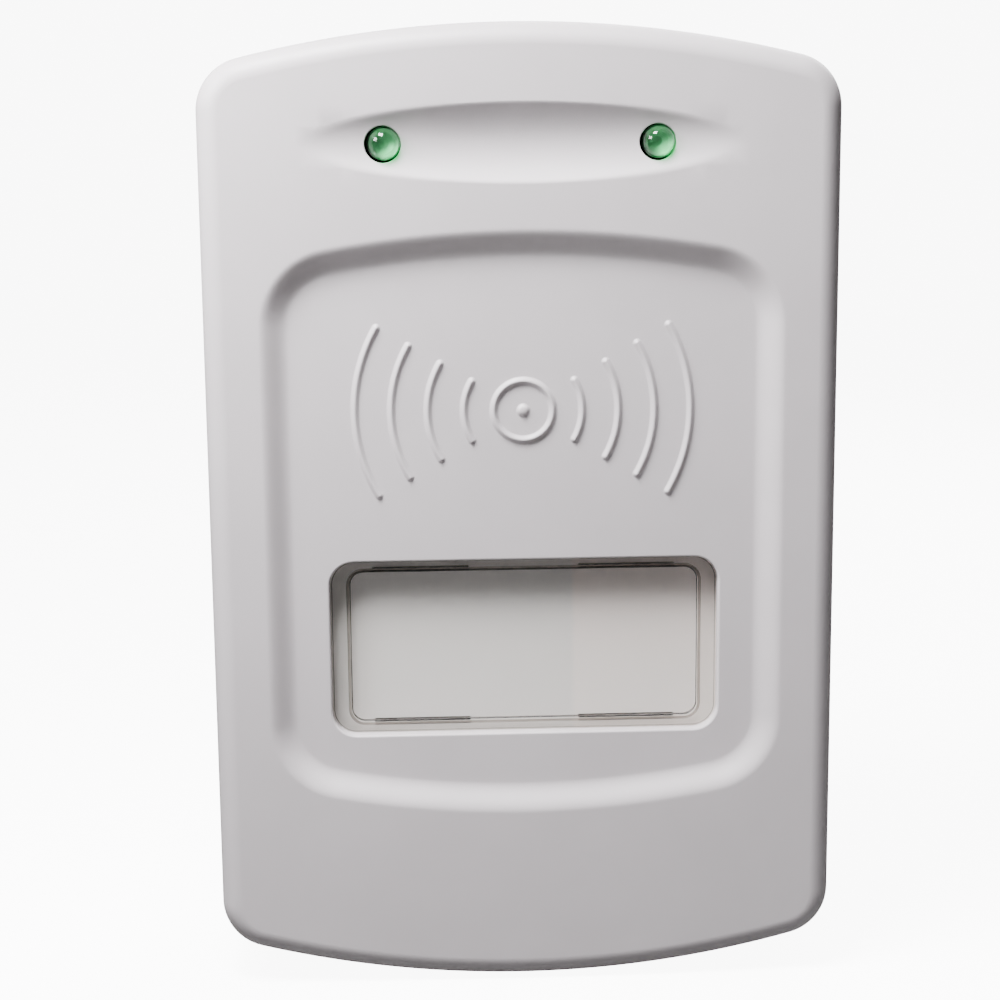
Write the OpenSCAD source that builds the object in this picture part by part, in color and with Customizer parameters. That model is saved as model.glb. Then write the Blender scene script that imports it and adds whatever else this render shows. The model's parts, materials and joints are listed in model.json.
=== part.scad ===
// Plug-in ultrasonic pest repeller with a night light.
// Frame: +Z up, front faces -Y, origin on the flat back face midway between the plug blades.
// Inside the modules, heights are measured from the casing's centre.

/* [Casing] */
// Width of the casing
body_w = 96; // [94:0.5:130]
// Height of the casing between the crowns of its arched ends
body_h = 148; // [146:0.5:190]
// Depth of the casing from the wall to the front face
body_d = 36; // [36:0.5:50]
// Depth of the front cover from its face to the parting line
cover_d = 10; // [9:0.5:12]
// Radius of the arched top edge
top_arch_r = 177; // [150:1:300]
// Radius of the arched bottom edge
bottom_arch_r = 163; // [150:1:300]
// Radius of the corners seen from the front
corner_r = 8; // [7:0.5:12]
// Radius of the edge around the front face
front_edge_r = 3.5; // [1:0.25:4]
// Radius of the edge around the back
back_edge_r = 2; // [0.5:0.25:3]
// Thickness of the cover's walls and the housing's sides
wall = 2.2; // [2:0.1:3]
// Thickness of the flat back wall
back_wall = 2.5; // [2:0.1:3]

/* [Front panel] */
// Distance from the casing's side to the panel's rim
panel_side_gap = 8.4; // [7:0.1:12]
// Distance from the casing's top crown to the panel's rim
panel_top_gap = 30.1; // [26:0.1:34]
// Distance from the casing's bottom crown to the panel's rim
panel_bottom_gap = 27.4; // [24:0.1:32]
// Depth of the recessed panel below the front face
panel_depth = 2.2; // [1:0.1:2.6]
// Width of the soft slope around the panel
panel_slope = 4.4; // [2:0.1:6]
// Radius of the panel's corners at its rim
panel_corner_r = 12; // [10:0.5:16]
// Width of the window opening
window_w = 60; // [50:0.5:62]
// Height of the window opening
window_h = 27.5; // [20:0.5:30]
// Height of the window's centre above the bottom crown
window_rise = 53.5; // [50:0.5:56]
// Radius of the window's corners
window_r = 3.8; // [3:0.1:6]
// Bead radius of the raised sound-wave motif
motif_bead_r = 0.7; // [0.4:0.1:1]
// Distance between the motif's neighbouring arcs
motif_pitch = 5.5; // [4:0.5:9]

/* [Indicator lamps] */
// Diameter of each lamp
led_d = 5; // [3:0.1:6]
// Distance between the two lamps
led_spacing = 40.8; // [36:0.1:46]
// Distance from the top crown down to the lamps
led_drop = 17.6; // [16:0.1:20]
// Length of the scoop around the lamps
scoop_l = 64.4; // [56:0.1:68]
// Height of the scoop at its middle
scoop_h = 11.6; // [9:0.1:13]
// Depth of the scoop at its middle
scoop_depth = 2.2; // [1:0.1:2.6]

/* [Plug] */
// Height of the plug above the casing's centre
plug_rise = 14; // [8:0.5:20]
// Distance between the blades' centres
blade_spacing = 12.7; // [12:0.1:20]
// Thickness of each blade
blade_t = 1.5; // [1.2:0.1:2]
// Width of the neutral blade
neutral_w = 7.94; // [6:0.02:9]
// Width of the live blade
live_w = 6.35; // [5:0.05:8]
// Length of each blade outside the back wall
blade_len = 17.5; // [15:0.1:19]
// Diameter of the hole near each blade's tip
blade_hole_d = 3.18; // [2:0.02:4]
// Distance from the back wall to the blade's hole
blade_hole_y = 11.7; // [9:0.1:12]

/* [Electronics] */
// Thickness of the circuit boards
board_t = 1.6; // [1:0.1:2]
// Distance from the wall to the main board's back
board_y = 15; // [14:0.5:16]
// Outer diameter of the transducer cup
cup_d = 25; // [20:0.5:26]
// Height of the transducer cup
cup_h = 12; // [10:0.5:16]
// Width of each sound slot
slot_w = 1.6; // [1:0.1:2.5]
// Distance between neighbouring sound slots
slot_pitch = 3; // [2.6:0.1:4]
// Travel of the night light's slide switch
switch_travel = 2; // [1:0.1:3]

/* [Hidden] */
$fn = 64;
gap = 0.2;
fit_gap = 0.05;
cut = 1;
corner_steps = 10;
crown_steps = 18;
edge_steps = 5;
slope_steps = 6;

// Casing levels
face_y = -body_d;
split_y = -(body_d - cover_d);
cover_in_y = face_y + wall;
panel_y = face_y + panel_depth;
panel_in_y = panel_y + wall - 0.2;
top_z = body_h / 2;
in_x = body_w / 2 - wall;
window_z = window_rise - top_z;
tongue_t = 1;
tongue_h = 1.5;
label_w = 44;
label_h = 22;
label_drop = 44;

// An arched outline is [width, top, bottom, top radius, bottom radius, corner radius]
casing = [body_w, top_z, -top_z, top_arch_r, bottom_arch_r, corner_r];
panel_rim = [
    body_w - 2 * panel_side_gap, top_z - panel_top_gap, panel_bottom_gap - top_z,
    top_arch_r - panel_side_gap, bottom_arch_r - panel_side_gap, panel_corner_r
];

// Screws
screw_r = 1.4;
screw_head_r = 2.7;
screw_head_h = 2;
boss_r = 4.2;
well_floor_y = -12;
boss_x = body_w / 2 - 8.5;
boss_z = top_z - 14;
small_screw_r = 1;
small_head_r = 2;
small_head_h = 1.4;

// Lamps
led_z = top_z - led_drop;
led_tip_y = face_y - 0.6;
led_len = 8.6;
led_base_y = led_tip_y + led_len;
led_flange_r = led_d / 2 + 0.4;
led_flange_h = 1;
lead_t = 0.5;
lead_pitch = 2.54;

// The scoop is the part of a spindle that dips below the front face
spindle_d = (scoop_h * scoop_h / 4 - scoop_depth * scoop_depth) / (2 * scoop_depth);
spindle_r = spindle_d + scoop_depth;
spindle_arc_r = scoop_l * scoop_l / 8 / scoop_depth;

// Night light
lens_gap = 0.2;
lens_lip = 2.2;
lens_lip_t = 1.3;
lens_flange_drop = 1.7;
lens_face_drop = 1.2;
lens_face_w = window_w - 5;
lens_face_h = window_h - 2.6;
lens_face_r = 2.6;
lens_back_y = panel_in_y + gap + lens_lip_t;
lens_face_t = 1.2;
lens_rim_t = 1.3;
lens_tab_x = 16;
lens_tab_l = 15;
lens_tab_t = 0.9;
lens_tab_reach = 3;
lens_tab_z = lens_face_h / 2 - lens_rim_t + lens_tab_t / 2;
diffuser_t = 0.5;
tray_w = window_w + 6;
tray_h = window_h + 6;
tray_wall = 2;
tray_depth = 4.2;
tray_y = lens_back_y + gap + diffuser_t + gap;
light_board_y = tray_y + tray_depth + gap;
light_board_t = 1.2;
light_screw_x = tray_w / 2 + 3.5;
light_board_w = 2 * light_screw_x + 6;
light_board_h = 22;
chip_w = 3.5;
chip_h = 2.8;
chip_t = 1.9;
chip_pitch = 14;

// Main board: a wide plate with a narrower tab that reaches up to the lamps
board_side_gap = 3.8;
board_w = 2 * (in_x - board_side_gap);
board_low = window_z + window_h / 2 + 2.75;
board_high = boss_z - boss_r - 2.8;
board_tab_w = led_spacing + 18;
board_tab_high = led_z + 6.6;
board_front_y = -board_y - board_t;
post_r = 3.2;
post_x = board_w / 2 - 5;
post_low = board_low + 6;
post_high = board_high - 7;

// Blades and the block that clamps their roots
root_w = 12;
root_t = 1.5;
tab_w = 4;
tab_end_y = -12;
block_w = blade_spacing + 24;
block_h = 16;
block_t = 6;
stud_x = blade_spacing / 2 + 7.8;
stud_r = 2.4;
stud_h = 3.5;

// Transducer, with its axis upright and its mouth facing the slots
cup_y = -15.5;
cup_r = cup_d / 2;
cup_wall = 1.2;
gasket_t = 0.8;
cup_low = -top_z + wall + 1.7;
cup_high = cup_low + cup_h;
ear_w = 6;
ear_x = cup_r + 3.4;
ear_root = cup_r - 1;
ear_tip = ear_x + ear_w / 2;
ear_t = 2.6;
ear_z = (cup_low + cup_high) / 2;
cup_post_r = 2.6;
plate_z = cup_high - cup_wall - 2.2;
plate_t = 0.3;
ceramic_t = 0.3;
slot_r = cup_r - 2.8;

// Slide switch
switch_z = (post_low + post_high) / 2 + 6;
switch_w = 4.4;
switch_l = 9;
switch_h = 4.5;
switch_x = board_w / 2 - 0.6;
switch_y = board_front_y - gap - switch_h / 2;
lever_t = 2;
lever_foot = 1.5;
knob_l = 6;
knob_w = 3.4;
knob_out = 1.6;
skirt_t = 1;
skirt_gap = 0.4;
skirt_margin = 0.8;
can_t = 0.3;
play = 0.3;
lever_z = switch_z - switch_travel / 2;

// Component places on the main board, measured from its lower left post
fuse_at = [11, 7];
film_capacitor_at = [32, 7];
bleed_at = [32, 15.5];
diodes_at = [2.5, 17];
zener_at = [22.5, 19];
filter_at = [7, 30];
supply_at = [18, 30];
chip_at = [32, 27];
transistors_at = [42, 24];
transformer_at = [56, 26];
ceramics_at = [44, 40];
resistors_at = [9, 42];

// Wire routes: points chosen by hand, from the plug's or the board's own places
wire_r = 0.9;
thin_wire_r = 0.6;
wire_sides = 8;
wire_steps = 4;

// ---- Outlines ----

function arc(c, r, a0, a1, steps) =
    [for (i = [0:steps]) let (a = a0 + (a1 - a0) * i / steps) c + r * [cos(a), sin(a)]];

function between(points) = [for (i = [1:len(points) - 2]) points[i]];

function inset(o, d) = [o[0] - 2 * d, o[1] - d, o[2] + d, o[3] - d, o[4] - d, o[5] - d];

// Points around an arched outline whose crowns meet its corners smoothly
function arched(o) =
    let (
        r = o[5],
        cx = o[0] / 2 - r,
        top_a = acos(cx / (o[3] - r)),
        low_a = acos(cx / (o[4] - r)),
        top_c = [0, o[1] - o[3]],
        low_c = [0, o[2] + o[4]],
        zt = top_c.y + (o[3] - r) * sin(top_a),
        zl = low_c.y - (o[4] - r) * sin(low_a)
    )
    concat(
        arc([cx, zt], r, 0, top_a, corner_steps),
        between(arc(top_c, o[3], top_a, 180 - top_a, crown_steps)),
        arc([-cx, zt], r, 180 - top_a, 180, corner_steps),
        arc([-cx, zl], r, 180, 180 + low_a, corner_steps),
        between(arc(low_c, o[4], 180 + low_a, 360 - low_a, crown_steps)),
        arc([cx, zl], r, 360 - low_a, 360, corner_steps)
    );

module rounded_rect(w, h, r) {
    square([w - 2 * r, h], center = true);
    square([w, h - 2 * r], center = true);
    for (x = [-1, 1], y = [-1, 1])
        translate([x * (w / 2 - r), y * (h / 2 - r)]) circle(r);
}

// ---- Placing ----

module from_centre() {
    translate([0, 0, -plug_rise]) children();
}

// A plate between two depths, whose flat child is drawn with X across and Y up
module slab(y0, y1) {
    translate([0, y1, 0]) rotate([90, 0, 0]) linear_extrude(y1 - y0) children();
}

// A round bar along Y between two depths
module bar(x, z, r, y0, y1) {
    translate([x, y1, z]) rotate([90, 0, 0]) cylinder(r = r, h = y1 - y0);
}

module box(x0, x1, y0, y1, z0, z1) {
    translate([x0, y0, z0]) cube([x1 - x0, y1 - y0, z1 - z0]);
}

module on_board(at) {
    translate([at.x - post_x, board_front_y, post_low + at.y]) children();
}

module four(x, z) {
    for (i = [-1, 1], k = [-1, 1]) translate([i * x, 0, k * z]) children();
}

// ---- Shells ----

// A closed solid through equal-length outlines, each at its own depth, front to back
module loft(outlines, depths) {
    n = len(outlines[0]);
    m = len(outlines);
    polyhedron(
        [for (k = [0:m - 1]) for (p = outlines[k]) [p.x, depths[k], p.y]],
        concat(
            [[for (i = [n - 1:-1:0]) i]],
            [for (k = [0:m - 2]) for (i = [0:n - 1])
                [k * n + i, k * n + (i + 1) % n, (k + 1) * n + (i + 1) % n, (k + 1) * n + i]],
            [[for (i = [0:n - 1]) (m - 1) * n + i]]
        )
    );
}

// Insets and depths of a rounded edge, from the end face inwards
function edge(r) =
    [for (i = [0:edge_steps]) let (a = 90 * i / edge_steps) [r * (1 - sin(a)), r * (1 - cos(a))]];

module cover_block() {
    e = edge(front_edge_r);
    loft(
        concat([for (s = e) arched(inset(casing, s.x))], [arched(casing)]),
        concat([for (s = e) face_y + s.y], [split_y])
    );
}

module housing_block() {
    e = edge(back_edge_r);
    loft(
        concat([arched(casing)], [for (i = [edge_steps:-1:0]) arched(inset(casing, e[i].x))]),
        concat([split_y], [for (i = [edge_steps:-1:0]) -e[i].y])
    );
}

// The soft S-shaped slope falls from the rim to the panel's floor
module panel_cut() {
    steps = [for (i = [0:slope_steps]) i / slope_steps];
    loft(
        concat([arched(panel_rim)], [for (t = steps) arched(inset(panel_rim, panel_slope * t))]),
        concat([face_y - cut], [for (t = steps) face_y + panel_depth * (1 - cos(180 * t)) / 2])
    );
}

module scoop_cut() {
    steps = 20;
    translate([0, face_y - spindle_d, led_z]) rotate([0, 90, 0]) rotate_extrude()
        polygon(concat(
            [[0, scoop_l / 2], [0, -scoop_l / 2]],
            [for (i = [0:steps]) let (x = scoop_l * (i / steps - 0.5))
                [spindle_r - x * x / (2 * spindle_arc_r), x]]
        ));
}

module casing_prism(d, y0, y1) {
    slab(y0, y1) polygon(arched(inset(casing, d)));
}

// Sound waves: a dot and a ring between arcs that spread to both sides
module motif() {
    z = (panel_rim[1] - panel_slope + window_z + window_h / 2) / 2;
    translate([0, panel_y + 0.25, z]) rotate([90, 0, 0]) {
        sphere(2 * motif_bead_r);
        rotate_extrude() translate([4.5, 0]) circle(motif_bead_r);
        for (side = [0, 180], r = [9:motif_pitch:27])
            rotate([0, 0, side - 30]) rotate_extrude(angle = 60) translate([r, 0]) circle(motif_bead_r);
    }
}

module cover_inside() {
    difference() {
        casing_prism(wall, cover_in_y, split_y + cut);
        slab(cover_in_y - cut, panel_in_y) polygon(arched(inset(panel_rim, 0.5)));
        box(-scoop_l / 2 + 2, scoop_l / 2 - 2, cover_in_y - cut, face_y + scoop_depth + wall - 0.6,
            led_z - scoop_h / 2, led_z + scoop_h / 2);
    }
    casing_prism(wall - tongue_t - 0.1, split_y - tongue_h - gap, split_y + cut);
}

module front_cover() {
    color("gainsboro") from_centre() difference() {
        union() {
            difference() {
                cover_block();
                panel_cut();
                scoop_cut();
                cover_inside();
            }
            motif();
            four(boss_x, boss_z) bar(0, 0, boss_r - 0.8, cover_in_y, split_y - gap);
            for (i = [-1, 1]) bar(i * light_screw_x, window_z, 2.5, panel_in_y, light_board_y - gap);
        }
        slab(face_y, panel_in_y + cut) translate([0, window_z]) rounded_rect(window_w, window_h, window_r);
        four(boss_x, boss_z) bar(0, 0, screw_r + fit_gap, cover_in_y + 1, split_y + cut);
        for (i = [-1, 1]) {
            bar(i * light_screw_x, window_z, small_screw_r + fit_gap, panel_in_y + 0.5, light_board_y + cut);
            bar(i * led_spacing / 2, led_z, led_d / 2 + 0.1, face_y - cut, cover_in_y + 3 * wall);
        }
    }
}

module sound_slots() {
    count = floor(slot_r / slot_pitch);
    for (i = [-count:count]) {
        x = i * slot_pitch;
        half = sqrt(slot_r * slot_r - x * x);
        box(x - slot_w / 2, x + slot_w / 2, cup_y - half, cup_y + half, -top_z - cut, -top_z + wall + 1);
    }
}

// Opening for the knob, long enough for its travel
module knob_slot() {
    l = knob_l + switch_travel + 2 * play;
    w = knob_w + 2 * play;
    box(in_x - cut, body_w / 2 + cut, switch_y - w / 2, switch_y + w / 2, switch_z - l / 2, switch_z + l / 2);
}

module blade_slot(side, w) {
    t = blade_t / 2 + gap / 2;
    x = side * blade_spacing / 2;
    box(x - t, x + t, -back_wall - cut, cut, plug_rise - w / 2 - gap / 2, plug_rise + w / 2 + gap / 2);
}

module rear_housing() {
    color("whitesmoke") from_centre() difference() {
        union() {
            difference() {
                housing_block();
                casing_prism(wall, split_y - cut, -back_wall);
            }
            difference() {
                casing_prism(wall - tongue_t, split_y - tongue_h, split_y + 0.5);
                casing_prism(wall, split_y - tongue_h - cut, split_y + cut);
            }
            four(boss_x, boss_z) bar(0, 0, boss_r, split_y, -back_wall);
            for (x = [-post_x, post_x], z = [post_low, post_high]) bar(x, z, post_r, -board_y, -back_wall);
            for (i = [-1, 1]) {
                bar(i * stud_x, plug_rise, stud_r, -back_wall - stud_h, -back_wall);
                bar(i * ear_x, ear_z, cup_post_r, cup_y + ear_t / 2, -back_wall);
            }
        }
        four(boss_x, boss_z) {
            bar(0, 0, screw_head_r + 0.5, well_floor_y, cut);
            bar(0, 0, screw_r + 0.3, split_y - cut, cut);
        }
        for (x = [-post_x, post_x], z = [post_low, post_high])
            bar(x, z, small_screw_r + fit_gap, -board_y - cut, -board_y + 7);
        for (i = [-1, 1]) {
            bar(i * stud_x, plug_rise, small_screw_r + fit_gap, -back_wall - stud_h - cut, -0.8);
            bar(i * ear_x, ear_z, small_screw_r + fit_gap, cup_y, cup_y + 8);
        }
        blade_slot(-1, neutral_w);
        blade_slot(1, live_w);
        sound_slots();
        knob_slot();
        slab(-0.3, cut) translate([0, -label_drop]) square([label_w + 0.4, label_h + 0.4], center = true);
    }
}

// A pan-head screw along Y with its tip towards the front
module screw(r, head_r, head_h, y_seat, y_tip) {
    bar(0, 0, r, y_tip, y_seat);
    difference() {
        bar(0, 0, head_r, y_seat, y_seat + head_h);
        box(-0.4, 0.4, y_seat + head_h / 2, y_seat + head_h + cut, -head_r * 0.6, head_r * 0.6);
        box(-head_r * 0.6, head_r * 0.6, y_seat + head_h / 2, y_seat + head_h + cut, -0.4, 0.4);
    }
}

// The same screw with its tip towards the back
module back_screw(y_seat, y_tip) {
    rotate([0, 0, 180]) screw(small_screw_r, small_head_r, small_head_h, -y_seat, -y_tip);
}

module housing_screws() {
    color("silver") from_centre() four(boss_x, boss_z)
        screw(screw_r, screw_head_r, screw_head_h, well_floor_y, cover_in_y + 2);
}

module rating_label() {
    color("white") from_centre() slab(-0.3, -0.1) translate([0, -label_drop])
        square([label_w, label_h], center = true);
}

// ---- Night light ----

module window_lens() {
    flange_y = panel_y + lens_flange_drop;
    face = panel_y + lens_face_drop;
    color("lightgray", 0.5) from_centre() translate([0, 0, window_z]) {
        difference() {
            union() {
                slab(panel_in_y + gap, lens_back_y)
                    rounded_rect(window_w + 2 * lens_lip, window_h + 2 * lens_lip, window_r + lens_lip);
                slab(flange_y, panel_in_y + gap)
                    rounded_rect(window_w - 2 * lens_gap, window_h - 2 * lens_gap, window_r - lens_gap);
                slab(face, flange_y) rounded_rect(lens_face_w, lens_face_h, lens_face_r);
            }
            slab(face + lens_face_t, lens_back_y + cut)
                rounded_rect(lens_face_w - 2 * lens_rim_t, lens_face_h - 2 * lens_rim_t, lens_face_r - 1);
        }
        lens_tabs(0, flange_y + lens_face_t, lens_back_y + lens_tab_reach);
    }
}

// Four snap tabs behind the lens, or with some clearance the notches that they pass through
module lens_tabs(clear, y0, y1) {
    for (x = [-lens_tab_x, lens_tab_x], z = [-lens_tab_z, lens_tab_z])
        box(x - lens_tab_l / 2 - clear, x + lens_tab_l / 2 + clear, y0, y1,
            z - lens_tab_t / 2 - clear, z + lens_tab_t / 2 + clear);
}

module light_diffuser() {
    color("ivory") from_centre() translate([0, 0, window_z]) difference() {
        slab(lens_back_y + gap, lens_back_y + gap + diffuser_t)
            rounded_rect(window_w + 2 * lens_lip, window_h + 2 * lens_lip, window_r + lens_lip);
        lens_tabs(gap, lens_back_y, lens_back_y + cut);
    }
}

module chip_places() {
    for (i = [-1.5:1:1.5]) translate([i * chip_pitch, 0, 0]) children();
}

module light_reflector() {
    color("white") from_centre() translate([0, 0, window_z]) difference() {
        slab(tray_y, tray_y + tray_depth) rounded_rect(tray_w, tray_h, window_r + 3);
        slab(tray_y - cut, tray_y + tray_depth - 1)
            rounded_rect(tray_w - 2 * tray_wall, tray_h - 2 * tray_wall, window_r + 1);
        chip_places() box(-chip_w / 2 - 0.4, chip_w / 2 + 0.4, tray_y, tray_y + tray_depth + cut,
            -chip_h / 2 - 0.4, chip_h / 2 + 0.4);
    }
}

module night_light_board() {
    color("darkgreen") from_centre() translate([0, 0, window_z]) difference() {
        slab(light_board_y, light_board_y + light_board_t)
            square([light_board_w, light_board_h], center = true);
        for (i = [-1, 1])
            bar(i * light_screw_x, 0, small_screw_r + gap, light_board_y - cut, light_board_y + 3);
    }
}

module night_light_leds() {
    color("khaki") from_centre() translate([0, 0, window_z]) chip_places()
        box(-chip_w / 2, chip_w / 2, light_board_y - chip_t, light_board_y, -chip_h / 2, chip_h / 2);
}

module night_light_resistors() {
    y = light_board_y + light_board_t;
    color("black") from_centre() translate([0, y, window_z]) for (i = [-1, 1])
        translate([i * chip_pitch, 0, 0]) box(-1.6, 1.6, 0, 0.6, -0.8, 0.8);
}

module night_light_screws() {
    y = light_board_y + light_board_t;
    color("silver") from_centre() for (i = [-1, 1]) translate([i * light_screw_x, 0, window_z])
        screw(small_screw_r, small_head_r, small_head_h, y, panel_in_y + 1);
}

// ---- Indicator lamps ----

module led_lens(side) {
    r = led_d / 2;
    color("limegreen", 0.8) from_centre() translate([side * led_spacing / 2, 0, led_z]) {
        translate([0, led_tip_y + r, 0]) rotate([90, 0, 0]) rotate_extrude()
            intersection() {
                circle(r);
                square(r + cut);
            }
        bar(0, 0, r, led_tip_y + r, led_base_y);
        bar(0, 0, led_flange_r, led_base_y - led_flange_h, led_base_y);
    }
}

module led_leads(side) {
    color("silver") from_centre() translate([side * led_spacing / 2, 0, led_z]) for (i = [-1, 1])
        translate([i * lead_pitch / 2, 0, 0])
            box(-lead_t / 2, lead_t / 2, led_base_y, board_front_y, -lead_t / 2, lead_t / 2);
}

module led_spacer(side) {
    color("dimgray") from_centre() translate([side * led_spacing / 2, 0, led_z]) difference() {
        bar(0, 0, led_flange_r, led_base_y, board_front_y);
        bar(0, 0, lead_pitch / 2 + lead_t, led_base_y - cut, board_front_y + cut);
    }
}

module left_led_lens() { led_lens(-1); }
module right_led_lens() { led_lens(1); }
module left_led_leads() { led_leads(-1); }
module right_led_leads() { led_leads(1); }
module left_led_spacer() { led_spacer(-1); }
module right_led_spacer() { led_spacer(1); }

// ---- Plug ----

module blade(side, w) {
    tip = 1.5;
    color("goldenrod") from_centre() translate([side * blade_spacing / 2, 0, plug_rise]) difference() {
        rotate([90, 0, 90]) linear_extrude(blade_t, center = true) polygon([
            [tab_end_y, -tab_w / 2], [-back_wall - root_t, -tab_w / 2],
            [-back_wall - root_t, -root_w / 2], [-back_wall, -root_w / 2], [-back_wall, -w / 2],
            [blade_len - tip, -w / 2], [blade_len, -w / 2 + tip],
            [blade_len, w / 2 - tip], [blade_len - tip, w / 2],
            [-back_wall, w / 2], [-back_wall, root_w / 2], [-back_wall - root_t, root_w / 2],
            [-back_wall - root_t, tab_w / 2], [tab_end_y, tab_w / 2]
        ]);
        translate([0, blade_hole_y, 0]) rotate([0, 90, 0])
            cylinder(d = blade_hole_d, h = blade_t + cut, center = true);
    }
}

module neutral_blade() { blade(-1, neutral_w); }
module live_blade() { blade(1, live_w); }

module blade_retainer() {
    y = -back_wall - block_t;
    t = blade_t / 2 + gap / 2;
    color("white") from_centre() translate([0, 0, plug_rise]) difference() {
        slab(y, -back_wall) rounded_rect(block_w, block_h, 2);
        for (i = [-1, 1]) {
            x = i * blade_spacing / 2;
            box(x - t, x + t, -back_wall - root_t - gap, cut, -root_w / 2 - gap, root_w / 2 + gap);
            box(x - t, x + t, y - cut, cut, -tab_w / 2 - gap, tab_w / 2 + gap);
            bar(i * stud_x, 0, stud_r + 0.1, -back_wall - stud_h - gap, cut);
            bar(i * stud_x, 0, small_screw_r + gap, y - cut, cut);
        }
    }
}

module retainer_screws() {
    color("silver") from_centre() for (i = [-1, 1]) translate([i * stud_x, 0, plug_rise])
        back_screw(-back_wall - block_t, -1.2);
}

// ---- Main board ----

module main_board() {
    color("seagreen") from_centre() difference() {
        slab(board_front_y, -board_y) polygon([
            [-board_w / 2, board_low], [board_w / 2, board_low], [board_w / 2, board_high],
            [board_tab_w / 2, board_high], [board_tab_w / 2, board_tab_high],
            [-board_tab_w / 2, board_tab_high], [-board_tab_w / 2, board_high], [-board_w / 2, board_high]
        ]);
        for (x = [-post_x, post_x], z = [post_low, post_high])
            bar(x, z, small_screw_r + gap, board_front_y - cut, -board_y + cut);
    }
}

module board_screws() {
    color("silver") from_centre() for (x = [-post_x, post_x], z = [post_low, post_high])
        translate([x, 0, z]) back_screw(board_front_y, -board_y + 6);
}

// A two-lead part lying along X above the board
module axial(l, r, lift, reach) {
    wire = 0.35;
    translate([-l / 2, -lift, 0]) rotate([0, 90, 0]) cylinder(r = r, h = l);
    translate([-reach, -lift, 0]) rotate([0, 90, 0]) cylinder(r = wire, h = 2 * reach);
    for (i = [-1, 1]) translate([i * reach, 0, 0]) bar(0, 0, wire, -lift - wire, 0);
}

// A round can standing on the board
module standing_can(r, h) {
    difference() {
        bar(0, 0, r, -h, -0.5);
        box(-r, r, -h - cut, -h + 0.2, -0.15, 0.15);
        box(-0.15, 0.15, -h - cut, -h + 0.2, -r, r);
    }
    for (i = [-1, 1]) bar(i * r / 2, 0, 0.3, -1, 0);
}

module fuse() {
    color("tan") from_centre() on_board(fuse_at) axial(13, 2.3, 3, 8);
}

module bleed_resistor() {
    color("burlywood") from_centre() on_board(bleed_at) axial(6.5, 1.2, 1.8, 5);
}

module zener_diode() {
    color("darkorange") from_centre() on_board(zener_at) axial(4, 1, 1.8, 4);
}

module filter_capacitor() {
    color("midnightblue") from_centre() on_board(filter_at) standing_can(5, 11.5);
}

module supply_capacitor() {
    color("midnightblue") from_centre() on_board(supply_at) standing_can(3.15, 10.5);
}

module film_capacitor() {
    color("gold") from_centre() on_board(film_capacitor_at) {
        box(-9, 9, -11.5, -0.6, -4.2, 4.2);
        for (i = [-1, 1]) bar(i * 7.5, 0, 0.4, -1, 0);
    }
}

module rectifier_diodes() {
    color("dimgray") from_centre() on_board(diodes_at) for (i = [0:3])
        translate([4.5 * i, 0, 0]) rotate([0, 90, 0]) axial(5.2, 1.3, 2, 4);
}

module driver_ic() {
    color("black") from_centre() on_board(chip_at) {
        box(-3.2, 3.2, -3.9, -0.6, -4.9, 4.9);
        for (side = [-1, 1], i = [-1.5:1:1.5]) translate([side * 3.6, 0, i * 2.54])
            box(-0.5, 0.5, -2.2, 0, -0.35, 0.35);
    }
}

module driver_transistors() {
    color("black") from_centre() on_board(transistors_at) for (k = [0, 7]) translate([0, 0, k]) {
        difference() {
            bar(0, 0, 2.4, -7.5, -3);
            box(-3, 3, -8, -2, 1.4, 3);
        }
        for (i = [-1:1]) bar(i * 1.27, 0, 0.25, -3.2, 0);
    }
}

// Ferrite core: two outer limbs, two yokes and a round middle limb
module transformer_core() {
    color("darkslategray") from_centre() on_board(transformer_at) {
        for (i = [-1, 1]) {
            box(i * 6.5 - 1.5, i * 6.5 + 1.5, -6.5, -2.5, -6.5, 6.5);
            box(-8, 8, -6.5, -2.5, i * 5.5 - 1.2, i * 5.5 + 1.2);
        }
        translate([0, -4.5, -5]) cylinder(r = 1.8, h = 10);
    }
}

module transformer_bobbin() {
    color("black") from_centre() on_board(transformer_at) {
        translate([0, -4.5, 0]) difference() {
            union() {
                translate([0, 0, -4.1]) cylinder(r = 2.6, h = 8.2);
                for (z = [-4.1, 3.3]) translate([0, 0, z]) cylinder(r = 4.4, h = 0.8);
            }
            translate([0, 0, -5]) cylinder(r = 1.9, h = 10);
        }
        for (i = [-1, 1]) bar(0, i * 3.7, 0.35, -1, 0);
    }
}

module transformer_winding() {
    color("chocolate") from_centre() on_board(transformer_at) translate([0, -4.5, -3.1]) difference() {
        cylinder(r = 4, h = 6.2);
        translate([0, 0, -cut]) cylinder(r = 2.7, h = 6.2 + 2 * cut);
    }
}

module ceramic_capacitors() {
    color("peru") from_centre() on_board(ceramics_at) for (k = [0:2]) translate([8 * k, 0, 0]) {
        translate([0, -4, -0.9]) cylinder(r = 2.5, h = 1.8);
        for (i = [-1, 1]) bar(i * 1.27, 0, 0.25, -2.2, 0);
    }
}

module signal_resistors() {
    color("burlywood") from_centre() on_board(resistors_at) for (i = [0:5])
        translate([5 * i, 0, 0]) rotate([0, 90, 0]) axial(6, 1.1, 1.6, 4.2);
}

// ---- Transducer ----

module at_cup(z) {
    translate([0, cup_y, z]) children();
}

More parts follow.
